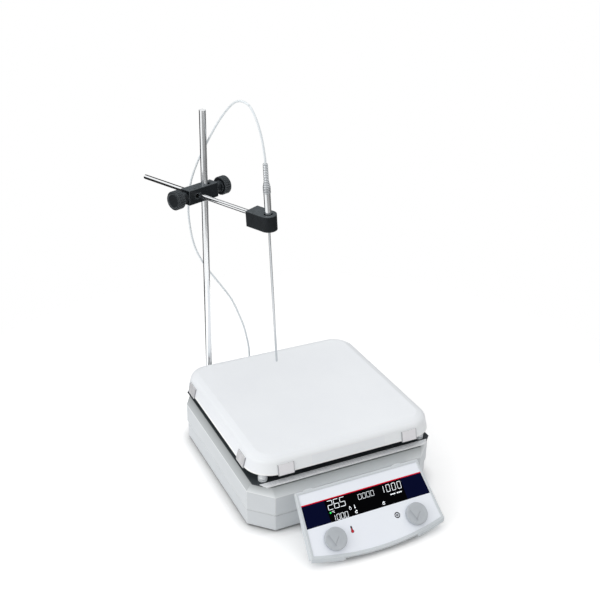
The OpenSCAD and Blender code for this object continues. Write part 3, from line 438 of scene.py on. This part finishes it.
pillarLook = {
    "deep": (206, 210, 213), "pale": (236, 240, 243), "cloud": 200.0, "grain": 1400.0,
    "rough": (0.28, 0.42), "bump": 0.3, "depth": 0.00002,
    # edge tint: painted highlight with a little wear
    "edge": 0.0008, "rubbedHighlightAmount": 0.9, "rubbedHighlightTint": (252, 253, 254),
    "fixed": {"Metallic": 0.2},
}
wear(buildFinish("pillarSteel", pillarLook), "plate_pillars")

crossLook = {
    "deep": (242, 245, 247), "pale": (251, 252, 253), "cloud": 40.0, "grain": 500.0,
    "stretch": (0.5, 0.2, 3), "rough": (0.04, 0.08), "bump": 0.02, "depth": 0.00001,
    "fixed": {"Metallic": 1.0},
}
wear(buildFinish("crossSteel", crossLook), "cross_rod")

sleeveLook = {
    "deep": (196, 200, 203), "pale": (224, 227, 229), "cloud": 300.0, "grain": 1600.0,
    "rough": (0.3, 0.48), "bump": 0.5, "depth": 0.00004,
    "fixed": {"Metallic": 0.6},
    # groove tint: painted shade in the grooves
    "turns": 420.0, "grooveShade": (120, 125, 130), "grooveSpan": (0.0, 0.8),  # turns per metre
}


def sleeveTurns(tree, place, colour):  # painted shade in the grooves round the sleeve
    s = sleeveLook
    axis = (Vector(leadSet["route"][1]) - Vector(leadSet["route"][0])).normalized()
    turn = mathOf(tree, "MULTIPLY", alongAxis(tree, place, axis), 2 * math.pi * s["turns"])
    grooveShade = spanOf(tree, mathOf(tree, "SINE", turn), *s["grooveSpan"])
    return mixTints(tree, grooveShade, colour, tint(*s["grooveShade"]))


wear(buildFinish("sleeveSteel", sleeveLook, sleeveTurns), "probe_sleeve")

platedLook = {
    "deep": (164, 167, 170), "pale": (190, 193, 196), "cloud": 150.0, "grain": 1200.0,
    "rough": (0.28, 0.45), "bump": 0.3, "depth": 0.00002,
    "fixed": {"Metallic": 1.0},
}
wear(
    buildFinish("platedSteel", platedLook), "body_screws", "console_screws", "motor_bearings", "inlet_pins",
    "probe_socket", "motor_rotor", "motor_shaft", "temp_shaft", "speed_shaft", "rod_screw", "cross_screw")

# Black glass-filled mouldings of the clamp and holder
clampLook = {
    "deep": (19, 23, 26), "pale": (28, 33, 37), "cloud": 90.0, "grain": 1500.0,
    "rough": (0.38, 0.55), "bump": 0.5, "depth": 0.00004,
    # edge tint: painted highlight with a little wear; up-facing tint: painted light
    "edge": 0.0018, "rubbedHighlightAmount": 0.9, "rubbedHighlightTint": (118, 124, 128), "paintedTopLight": (84, 90, 94),
    "fixed": {"Specular IOR Level": 0.18},
}
wear(buildFinish("clampBlack", clampLook), "boss_head", "probe_holder")

gripLook = {
    "deep": (19, 23, 26), "pale": (28, 33, 37), "cloud": 140.0, "grain": 1700.0,
    "rough": (0.36, 0.52), "bump": 0.4, "depth": 0.00003,
    # edge tint: painted highlight with a little wear; up-facing tint: painted light
    "edge": 0.0014, "rubbedHighlightAmount": 1.0, "rubbedHighlightTint": (122, 128, 132), "paintedTopLight": (66, 72, 76),
    "fixed": {"Specular IOR Level": 0.18},
}
wear(buildFinish("gripBlack", gripLook), "rod_grip", "cross_grip")

fittingLook = {
    "deep": (26, 27, 29), "pale": (40, 41, 44), "cloud": 80.0, "grain": 1400.0,
    # edge tint: painted highlight with a little wear
    "rough": (0.4, 0.56), "bump": 0.35, "depth": 0.00003, "edge": 0.0005, "rubbedHighlightAmount": 0.4, "rubbedHighlightTint": (80, 82, 86),
    "fixed": {"Specular IOR Level": 0.2},
}
wear(
    buildFinish("fittingBlack", fittingLook), "mains_inlet", "switch_frame", "switch_rocker", "probe_plug",
    "display_module", "encoders", "magnet_holder")

rubberLook = {
    "deep": (36, 36, 38), "pale": (54, 54, 57), "cloud": 120.0, "grain": 900.0,
    "rough": (0.75, 0.92), "bump": 0.6, "depth": 0.00006,
    "fixed": {"Specular IOR Level": 0.25},
}
wear(buildFinish("footRubber", rubberLook), "rubber_feet")

# Parts inside the body
insideLooks = {
    "heaterCeramic": (("heating_element",), {
        "deep": (128, 116, 98), "pale": (158, 146, 126), "cloud": 40.0, "grain": 600.0,
        "rough": (0.7, 0.9), "bump": 0.5, "depth": 0.00008}),
    "padFibre": (("insulation_pad",), {
        "deep": (208, 204, 190), "pale": (234, 231, 220), "cloud": 50.0, "grain": 350.0,
        "stretch": (0.3, 1, 3),
        "rough": (0.85, 1.0), "bump": 0.9, "depth": 0.0004, "fixed": {"Sheen Weight": 0.25}}),
    "smallBrass": (("plate_sensor", "board_standoffs", "rod_tip", "cross_tip"), {
        "deep": (186, 158, 98), "pale": (214, 188, 126), "cloud": 200.0, "grain": 1500.0,
        "rough": (0.25, 0.42), "bump": 0.3, "depth": 0.00002, "fixed": {"Metallic": 1.0}}),
    "castBracket": (("motor_bracket",), {
        "deep": (156, 158, 162), "pale": (182, 184, 188), "cloud": 60.0, "grain": 800.0,
        "rough": (0.35, 0.55), "bump": 0.4, "depth": 0.00005, "fixed": {"Metallic": 0.9}}),
    "motorPaint": (("motor_can",), {
        "deep": (68, 70, 74), "pale": (86, 88, 93), "cloud": 40.0, "grain": 900.0,
        "rough": (0.35, 0.5), "bump": 0.3, "depth": 0.00003, "fixed": {"Metallic": 0.3}}),
    "copperWinding": (("motor_stator",), {
        "deep": (128, 62, 30), "pale": (186, 104, 58), "cloud": 200.0, "grain": 900.0, "stretch": (1, 1, 12),
        "rough": (0.3, 0.5), "bump": 0.8, "depth": 0.0002, "fixed": {"Metallic": 0.7, "Coat Weight": 0.3}}),
    "boardLaminate": (("power_board", "control_board"), {
        "deep": (18, 78, 42), "pale": (34, 106, 60), "cloud": 150.0, "grain": 1200.0,
        "rough": (0.3, 0.5), "bump": 0.3, "depth": 0.00003}),
    "magnetNickel": (("drive_magnets",), {
        "deep": (146, 148, 150), "pale": (172, 174, 176), "cloud": 150.0, "grain": 1200.0,
        "rough": (0.22, 0.36), "bump": 0.3, "depth": 0.00002, "fixed": {"Metallic": 1.0}}),
}
for finishName, (wearers, look) in insideLooks.items():
    wear(buildFinish(finishName, look), *wearers)

# The lead's pale sheath
sheathLook = {
    "deep": (237, 244, 249), "pale": (245, 250, 252), "cloud": 60.0, "grain": 900.0,
    "rough": (0.35, 0.5), "bump": 0.25, "depth": 0.00002,
    "fixed": {"Specular IOR Level": 0.3},
}
sheath = buildFinish("leadSheath", sheathLook)
wear(sheath, "probe_cable")
for piece in leadPieces:
    piece.data.materials.append(sheath)
print("finishes worn by", len(nodes), "nodes")

# The sloping panel: s runs to the right and t down the slope from the back edge of the film (mm)
panelSet = {
    "origin": (0.0, -0.1726, 0.0714),  # metres
    "tilt": 39.5,  # degrees
    "film": (245, 249, 255), "filmDeep": (243, 247, 255),
    "band": (2, 7, 42), "bandFrom": 16.0, "bandTo": 46.5,
    "line": (226, 14, 46), "lineFrom": 14.6,
}
slope = math.radians(panelSet["tilt"])
panelDown = Vector((0, -math.cos(slope), -math.sin(slope)))
panelUp = Vector((0, -math.sin(slope), math.cos(slope)))


def panelPoint(s, t, up=0.0):
    return Vector(panelSet["origin"]) + Vector((s / 1000, 0, 0)) + panelDown * t / 1000 + panelUp * up / 1000


filmLook = {
    "deep": panelSet["filmDeep"], "pale": panelSet["film"], "cloud": 12.0, "grain": 2200.0,
    "rough": (0.4, 0.52), "bump": 0.2, "depth": 0.00001,
    "fixed": {"Specular IOR Level": 0.03},
}


def filmPrint(tree, place, colour):  # a red line above the dark band
    start = panelDown.dot(Vector(panelSet["origin"]))
    down = mathOf(tree, "SUBTRACT", alongAxis(tree, place, panelDown), start)
    before = mathOf(tree, "LESS_THAN", down, panelSet["bandTo"] / 1000)
    for key in ("line", "band"):
        past = mathOf(tree, "GREATER_THAN", down, panelSet[key + "From"] / 1000)
        colour = mixTints(tree, mathOf(tree, "MULTIPLY", past, before), colour, tint(*panelSet[key]))
    return colour


wear(buildFinish("panelFilm", filmLook, filmPrint), "console_overlay")

glassLook = {
    "deep": (2, 2, 3), "pale": (4, 4, 6), "cloud": 30.0, "grain": 1500.0,
    "rough": (0.12, 0.2), "bump": 0.1, "depth": 0.00001,
    "fixed": {"Specular IOR Level": 0.012},
}
wear(buildFinish("displayGlass", glassLook), "display_window")

knobLook = {
    "deep": (180, 185, 190), "pale": (190, 195, 200), "cloud": 60.0, "grain": 1800.0,
    "rough": (0.42, 0.55), "bump": 0.3, "depth": 0.00002,
    # edge tint: painted highlight with a little wear
    "edge": 0.0009, "rubbedHighlightAmount": 0.6, "rubbedHighlightTint": (212, 216, 220),
    "fixed": {"Specular IOR Level": 0.25},
    # crease across the cap: knob's s and t, crease ends from the knob's middle, its half width (mm); the
    # crease and side tints are painted shade
    "place": (63.0, 69.0), "low": (-3.3, 9.4), "high": (-9.5, -6.8),
    "crease": 1.1, "paintedCreaseShading": (163, 168, 174),
    "fade": 5.0, "sideShade": (172, 177, 183),
}


def knobCreaseShade(tree, place, colour):  # painted shade: a thin dark crease line with a soft shade on one side, on both knobs
    s = knobLook
    across = alongAxis(tree, place, (1000, 0, 0))
    side = mathOf(tree, "SIGN", across)
    middle = panelPoint(0, s["place"][1]).dot(panelDown) * 1000
    run = Vector(s["high"]) - Vector(s["low"])
    length = run.length
    run.normalize()
    right = mathOf(tree, "SUBTRACT", across, mathOf(tree, "MULTIPLY", side, s["place"][0]))
    right = mathOf(tree, "SUBTRACT", right, s["low"][0])
    down = mathOf(tree, "SUBTRACT", alongAxis(tree, place, panelDown * 1000), middle + s["low"][1])

    def toward(a, b):
        return mathOf(tree, "ADD", mathOf(tree, "MULTIPLY", right, a), mathOf(tree, "MULTIPLY", down, b))

    off = toward(-run.y, run.x)
    along = toward(run.x, run.y)
    past = mathOf(tree, "GREATER_THAN", along, 0.0)
    within = mathOf(tree, "MULTIPLY", past, mathOf(tree, "LESS_THAN", along, length))
    soft = mathOf(tree, "MULTIPLY", spanOf(tree, off, -s["fade"], 0.0), mathOf(tree, "LESS_THAN", off, 0.0))
    shaded = mixTints(tree, mathOf(tree, "MULTIPLY", within, soft), colour, tint(*s["sideShade"]))
    near = spanOf(tree, mathOf(tree, "ABSOLUTE", off), s["crease"], 0.0)
    return mixTints(tree, mathOf(tree, "MULTIPLY", within, near), shaded, tint(*s["paintedCreaseShading"]))


wear(buildFinish("knobMoulding", knobLook, knobCreaseShade), "temp_knob", "speed_knob")
wear(buildFinish("plungerMoulding", knobLook), "temp_plunger", "speed_plunger")

# Lit figures and small signs on the display (mm on the panel)
figureSet = {
    "sink": 0.02,  # into the glass
    "thick": 0.06,  # above it
    "slant": 0.1,
    "gap": 0.09,  # between segments, in stroke widths
    "point": (0.9, 0.55, 0.6),  # decimal point: back, up and radius in stroke widths
    "white": (236, 240, 244), "whiteLevel": 0.75,
    "green": (40, 214, 90), "greenLevel": 0.6,
    # text, left s, top t, digit width, height, stroke, pitch
    "rows": [
        ("26.5", -57.0, 17.7, 7.6, 12.6, 0.68, 9.4),
        ("1", -56.6, 38.0, 4.8, 8.0, 0.52, 6.2),
        ("000", -49.5, 38.0, 4.8, 8.0, 0.52, 6.2),
        ("0000", -10.2, 20.5, 5.0, 7.6, 0.4, 6.5),
        ("1", 24.4, 18.8, 5.9, 10.2, 0.62, 8.9),
        ("000", 34.3, 18.8, 5.9, 10.2, 0.62, 8.9),
    ],
    # marks under the speed, in two groups: first s, t, pitch, gap between the groups, width, height, corner
    "marks": {
        "s": 38.4, "t": 33.5, "pitch": 2.8, "gap": 1.8, "bar": (2.1, 1.6, 0.3), "count": 6, "group": 3,
    },
    # rings: s, t, radius, stroke, first and last angle
    "degree": (-53.0, 33.0, 0.75, 0.3), "unit": (-50.6, 33.8, 1.3, 0.42, 50, 310),
    "drop": (-26.8, 36.0, 1.75, 0.45, 130, 410),
    "dropFlank": [(1.4, 34.9), (0.1, 32.3), (-0.3, 32.8), (0.8, 35.2)],  # s from the drop's middle, t
    "tube": (-19.7, 34.3, 0.8, 3.6, 0.35), "bulb": (-19.7, 36.6, 0.95),
    "arrows": [(-19.9, 42.6), (23.1, 42.2)], "arrowRing": (1.9, 0.8, 60, 350),
    "arrowTip": [(0.2, -2.9), (2.6, -1.5), (0.4, -0.4)],  # from the arrow's middle
    "readyDot": (-56.2, 34.0, 1.25),
}
segmentsOf = {"0": "abcdef", "1": "bc", "2": "abged", "5": "afgcd", "6": "afgedc"}


def segmentShapes(width, height, stroke, gap):  # the seven bars of a digit
    half, middle = stroke / 2, height / 2
    reach = width - stroke

    def lying(t):
        left, right = half + gap, half + reach - gap
        upper = [(left, t), (left + half, t - half), (right - half, t - half)]
        return upper + [(right, t), (right - half, t + half), (left + half, t + half)]

    def standing(s, top, bottom):
        top, bottom = top + gap, bottom - gap
        right = [(s, top), (s + half, top + half), (s + half, bottom - half)]
        return right + [(s, bottom), (s - half, bottom - half), (s - half, top + half)]

    return {
        "a": lying(half), "g": lying(middle), "d": lying(height - half),
        "f": standing(half, half, middle), "b": standing(half + reach, half, middle),
        "e": standing(half, middle, height - half), "c": standing(half + reach, middle, height - half),
    }


def ringShape(s, t, radius, stroke, start=0.0, end=360.0, count=28):  # ring or arc in short pieces
    turns = [math.radians(start + (end - start) * k / count) for k in range(count + 1)]
    outer = [(s + radius * math.cos(a), t - radius * math.sin(a)) for a in turns]
    inner = [(s + (radius - stroke) * math.cos(a), t - (radius - stroke) * math.sin(a)) for a in turns]
    return [[outer[k], outer[k + 1], inner[k + 1], inner[k]] for k in range(count)]


def discShape(s, t, radius, count=20):
    turns = [2 * math.pi * k / count for k in range(count)]
    return [(s + radius * math.cos(a), t - radius * math.sin(a)) for a in turns]


def barShape(s, t, width, height, corner, steps=3):
    shape = []
    for cx, cy, first in ((1, -1, 0), (-1, -1, 90), (-1, 1, 180), (1, 1, 270)):
        for k in range(steps + 1):
            a = math.radians(first + 90 / steps * k)
            shape.append((
                s + cx * (width / 2 - corner) + corner * math.cos(a),
                t + cy * (height / 2 - corner) - corner * math.sin(a)))
    return shape


def digitShapes(s):
    shapes = []
    for text, left, top, width, height, stroke, pitch in s["rows"]:
        parts = segmentShapes(width, height, stroke, s["gap"] * stroke)
        back, up, radius = [share * stroke for share in s["point"]]
        at = left
        for mark in text:
            if mark == ".":
                shapes.append(discShape(at - back, top + height - up, radius))
                continue
            for key in segmentsOf[mark]:
                lean = [(height / 2 - y) * s["slant"] for _, y in parts[key]]
                shapes.append([(at + x + k, top + y) for (x, y), k in zip(parts[key], lean)])
            at += pitch
    return shapes


def smallShapes(s):
    shapes = []
    marks = s["marks"]
    for k in range(marks["count"]):
        at = marks["s"] + marks["pitch"] * k + marks["gap"] * (k >= marks["group"])
        shapes.append(barShape(at, marks["t"], *marks["bar"]))
    shapes += ringShape(*s["degree"]) + ringShape(*s["unit"]) + ringShape(*s["drop"])
    for side in (-1, 1):
        shapes.append([(s["drop"][0] + side * x, y) for x, y in s["dropFlank"]])
    shapes += [barShape(*s["tube"]), discShape(*s["bulb"])]
    for at, low in s["arrows"]:
        shapes += ringShape(at, low, *s["arrowRing"])
        shapes.append([(at + x, low + y) for x, y in s["arrowTip"]])
    return shapes


def raiseShapes(name, shapes, place, low, high):  # flat shapes with a top and walls
    points, faces = [], []
    for shape in shapes:
        first, count = len(points), len(shape)
        points += [place(s, t, low) for s, t in shape] + [place(s, t, high) for s, t in shape]
        faces.append(tuple(range(first + count, first + 2 * count)))
        for k in range(count):
            after = (k + 1) % count
            faces.append((first + k, first + after, first + count + after, first + count + k))
    return addPiece(name, points, faces)


litSet = {"cloud": 400.0, "detail": 2.0, "span": (0.3, 0.7), "dim": 0.8, "rough": (0.3, 0.45), "gloss": 0.1}


def litFinish(name, colour, strength):  # figures that glow a little unevenly
    stuff = bpy.data.materials.new(name)
    stuff.use_nodes = True
    tree = stuff.node_tree
    shader = tree.nodes["Principled BSDF"]
    place = addNode(tree, "TexCoord").outputs["Object"]
    links = {"Vector": place, "Scale": litSet["cloud"], "Detail": litSet["detail"]}
    glow = addNode(tree, "TexNoise", links).outputs["Fac"]
    dim = [c * litSet["dim"] for c in tint(*colour)[:3]] + [1.0]
    tone = mixTints(tree, spanOf(tree, glow, *litSet["span"]), dim, tint(*colour))
    tree.links.new(tone, shader.inputs["Base Color"])
    tree.links.new(tone, shader.inputs["Emission Color"])
    rough = spanOf(tree, glow, *litSet["span"], *litSet["rough"])
    tree.links.new(rough, shader.inputs["Roughness"])
    shader.inputs["Emission Strength"].default_value = strength
    shader.inputs["Specular IOR Level"].default_value = litSet["gloss"]
    return stuff


def topOf(name):  # mm out of the panel
    start = Vector(panelSet["origin"])
    return max((v.co - start).dot(panelUp) for v in nodes[name].data.vertices) * 1000


windowTop = topOf("display_window")
filmTop = topOf("console_overlay")
onGlass = (windowTop - figureSet["sink"], windowTop + figureSet["thick"])
litShapes = digitShapes(figureSet) + smallShapes(figureSet)
figures = raiseShapes("displayFigures", litShapes, panelPoint, *onGlass)
figures.data.materials.append(litFinish("figureLight", figureSet["white"], figureSet["whiteLevel"]))
readyDot = raiseShapes("displayReadyDot", [discShape(*figureSet["readyDot"])], panelPoint, *onGlass)
readyDot.data.materials.append(litFinish("readyLight", figureSet["green"], figureSet["greenLevel"]))
for piece in (figures, readyDot):
    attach(piece, "base")
print("display figures on glass at", round(windowTop, 2), "mm, film at", round(filmTop, 2), "mm")

# The two signs printed on the film (mm on the panel)
signSet = {
    "ink": (30, 32, 38), "inkPale": (48, 50, 58), "red": (196, 24, 44), "redPale": (214, 40, 58),
    "sink": 0.02, "thick": 0.05, "redThick": 0.02,  # the red lies on the ink
    "heatTube": (-34.8, 61.6, 2.5, 6.8, 1.2), "heatBall": (-34.8, 65.6, 2.3),
    "redBall": (-34.8, 65.6, 1.9), "redTube": (-34.8, 63.2, 1.4, 3.6, 0.6),
    "turn": (36.2, 62.6), "turnRing": (4.2, 1.5), "turnArcs": [(20, 165), (200, 345)], "turnHub": (1.7, 1.1),
    "turnTips": [[(31.4, 62.3), (34.2, 62.3), (32.6, 64.3)], [(41.0, 62.9), (38.2, 62.9), (39.8, 60.9)]],
}
inkLook = {
    "deep": signSet["ink"], "pale": signSet["inkPale"], "cloud": 500.0, "grain": 2500.0,
    "rough": (0.35, 0.5), "bump": 0.2, "depth": 0.00001, "fixed": {"Specular IOR Level": 0.3},
}
redLook = dict(inkLook, deep=signSet["red"], pale=signSet["redPale"])


def turnShapes(s):
    shapes = []
    for arc in s["turnArcs"]:
        shapes += ringShape(*s["turn"], *s["turnRing"], *arc)
    return shapes + s["turnTips"] + ringShape(*s["turn"], *s["turnHub"])


def printSigns(s):
    heatShapes = [barShape(*s["heatTube"]), discShape(*s["heatBall"])]
    redShapes = [discShape(*s["redBall"]), barShape(*s["redTube"])]
    low, high = filmTop - s["sink"], filmTop + s["thick"]
    for name, shapes, top, finish, look in (
            ("heatSign", heatShapes, high, "signInk", inkLook),
            ("heatBulb", redShapes, high + s["redThick"], "signRed", redLook),
            ("turnSign", turnShapes(s), high, "signInkTurn", inkLook)):
        piece = raiseShapes(name, shapes, panelPoint, low, top)
        piece.data.materials.append(buildFinish(finish, look))
        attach(piece, "base")


printSigns(signSet)

# On and off marks on the mains rocker
rockerSet = {
    "pivot": (0.056, 0.149, 0.0444),  # metres
    "tip": 7.0,  # degrees at rest
    "face": 4.6, "apart": 3.0, "sink": 0.1, "thick": 0.08,  # mm from the pivot and on the face
    "bar": (0.6, 2.6, 0.25), "ring": (1.3, 0.5),
}
rockerTurn = Matrix.Rotation(math.radians(rockerSet["tip"]), 4, "X")
rockerPlace = Matrix.Translation(rockerSet["pivot"]) @ rockerTurn


def rockerPoint(s, t, up=0.0):
    return rockerPlace @ Vector((-s / 1000, up / 1000, -t / 1000))


markLook = {
    "deep": (208, 210, 212), "pale": (222, 224, 226), "cloud": 400.0, "grain": 2500.0,
    "rough": (0.4, 0.55), "bump": 0.2, "depth": 0.00001,
}
markShapes = [barShape(0, -rockerSet["apart"], *rockerSet["bar"])]
markShapes += ringShape(0, rockerSet["apart"], *rockerSet["ring"])
markFrom, markTo = rockerSet["face"] - rockerSet["sink"], rockerSet["face"] + rockerSet["thick"]
rockerMarks = raiseShapes("rockerMarks", markShapes, rockerPoint, markFrom, markTo)
rockerMarks.data.materials.append(buildFinish("rockerInk", markLook))
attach(rockerMarks, "rocker")
print("signs and marks placed")

# Floor, dome, key lamp and reflection cards (metres)
stageSet = {
    "floorRadius": 3.0, "floorSides": 96, "fadeFrom": 0.3, "fadeTo": 0.7, "floorDrop": 0.0002,
    "floorSeen": 1.2, "floorBounce": 0.88,
    # shadow close to the walls, from y contactFrom backward
    "contactReach": 0.021, "contactSamples": 16, "contact": 0.85, "contactFrom": -0.175, "contactTo": -0.145,
    # light from the dome: axis, its range, the level at each end of the range
    "dome": [
        ((0, 0, 1), 0.0, 1.0, 0.55, 1.16),
        ((1, 0, 0), -1.0, 1.0, 1.08, 0.92),
        ((0, 1, 0), -1.0, 1.0, 0.79, 1.12),
    ],
    "seen": 1.0,
    "key": {"place": (-1.95, -0.36, 0.9), "aim": (0, 0, 0.1), "size": 1.2, "power": 9.8},
    # cards seen only in reflections: middle, half width, half height, level
    "flags": {
        "flagBehind": ((-0.42, 0.45, 0.25), (0.43, 0, 0), (0, 0, 0.25), 0.02),
        "flagHigh": ((-0.105, 0.75, 0.55), (0.195, 0, 0), (0, 0, 0.55), 0.02),
        "flagFar": ((0.32, 0.75, 0.55), (0.14, 0, 0), (0, 0, 0.55), 0.02),
        "flagGap": ((0.135, 0.75, 0.33), (0.045, 0, 0), (0, 0, 0.33), 0.02),
        "flagLow": ((-0.275, 0.46, 0.002), (0.325, 0, 0), (0, 0.16, 0), 0.03),
        "flagCross": ((-0.7, 0.335, 0.63), (0, 0.1, 0), (0, 0, 0.16), 0.02),
        "flagRight": ((0.4, 0.035, 0.2), (0, 0.465, 0), (0, 0, 0.2), 0.16),
        "flagFront": ((-0.22, -0.62, 0.16), (0.78, 0, 0), (0, 0, 0.16), 0.36),
    },
}


def seenRays(tree):  # 1 for what the eye sees straight, mirrored or through
    path = addNode(tree, "LightPath")
    mirrored = mathOf(tree, "MAXIMUM", path.outputs["Is Glossy Ray"], path.outputs["Is Transmission Ray"])
    return mathOf(tree, "MAXIMUM", path.outputs["Is Camera Ray"], mirrored)


def buildFloor(s):
    count, radius, low = s["floorSides"], s["floorRadius"], -s["floorDrop"]
    turns = [2 * math.pi * k / count for k in range(count)]
    ring = [(radius * math.cos(a), radius * math.sin(a), low) for a in turns]
    floor = addPiece("studioFloor", ring, [tuple(range(count))])
    stuff = bpy.data.materials.new("floorPaper")
    stuff.use_nodes = True
    tree = stuff.node_tree
    tree.nodes.clear()
    place = addNode(tree, "TexCoord").outputs["Object"]
    away = addNode(tree, "VectorMath", {0: place}, operation="LENGTH").outputs["Value"]
    seen = seenRays(tree)
    near = addNode(tree, "AmbientOcclusion", {"Distance": s["contactReach"]}, samples=s["contactSamples"])
    opened = near.outputs["AO"]
    depth = alongAxis(tree, place, (0, 1, 0))
    behind = spanOf(tree, depth, s["contactFrom"], s["contactTo"], 0.0, s["contact"])
    closed = mathOf(tree, "MULTIPLY", mathOf(tree, "SUBTRACT", 1.0, opened), behind)
    level = mathOf(tree, "MULTIPLY", mathOf(tree, "SUBTRACT", 1.0, closed), s["floorSeen"])
    paper = spanOf(tree, seen, 0.0, 1.0, s["floorBounce"], level)
    matt = addNode(tree, "BsdfDiffuse", {"Color": paper}).outputs[0]
    clear = addNode(tree, "BsdfTransparent").outputs[0]
    fade = spanOf(tree, away, s["fadeFrom"], s["fadeTo"])
    both = addNode(tree, "MixShader", {0: fade, 1: matt, 2: clear}).outputs[0]
    addNode(tree, "OutputMaterial", {"Surface": both})
    floor.data.materials.append(stuff)


def buildDome(s):
    dome = bpy.data.worlds.new("studioDome")
    dome.use_nodes = True
    tree = dome.node_tree
    tree.nodes.clear()
    toward = addNode(tree, "TexCoord").outputs["Generated"]
    light = 1.0
    for axis, low, high, first, last in s["dome"]:
        share = spanOf(tree, alongAxis(tree, toward, axis), low, high, first, last)
        light = mathOf(tree, "MULTIPLY", share, light)
    level = spanOf(tree, seenRays(tree), 0.0, 1.0, light, s["seen"])
    sky = addNode(tree, "Background", {"Color": (1, 1, 1, 1), "Strength": level}).outputs[0]
    addNode(tree, "OutputWorld", {"Surface": sky})
    scene.world = dome


def addFlag(name, middle, sideways, upright, level):
    middle, sideways, upright = Vector(middle), Vector(sideways), Vector(upright)
    low, high = middle - upright, middle + upright
    corners = [low - sideways, low + sideways, high + sideways, high - sideways]
    flag = addPiece(name, corners, [(0, 1, 2, 3)])
    for ray in ("camera", "diffuse", "shadow", "transmission"):
        setattr(flag, "visible_" + ray, False)
    stuff = bpy.data.materials.new(name + "Cloth")
    stuff.use_nodes = True
    tree = stuff.node_tree
    tree.nodes.clear()
    shade = addNode(tree, "Emission", {"Color": (level, level, level, 1)}).outputs[0]
    addNode(tree, "OutputMaterial", {"Surface": shade})
    flag.data.materials.append(stuff)


def addLamp(name, s):
    lamp = bpy.data.lights.new(name, "AREA")
    lamp.size = s["size"]
    lamp.energy = s["power"]
    holder = bpy.data.objects.new(name, lamp)
    holder.location = s["place"]
    holder.rotation_mode = "QUATERNION"
    holder.rotation_quaternion = (Vector(s["aim"]) - Vector(s["place"])).to_track_quat("-Z", "Y")
    scene.collection.objects.link(holder)


buildFloor(stageSet)
buildDome(stageSet)
addLamp("keyLamp", stageSet["key"])
for flagName, measures in stageSet["flags"].items():
    addFlag(flagName, *measures)
print("stage lit")
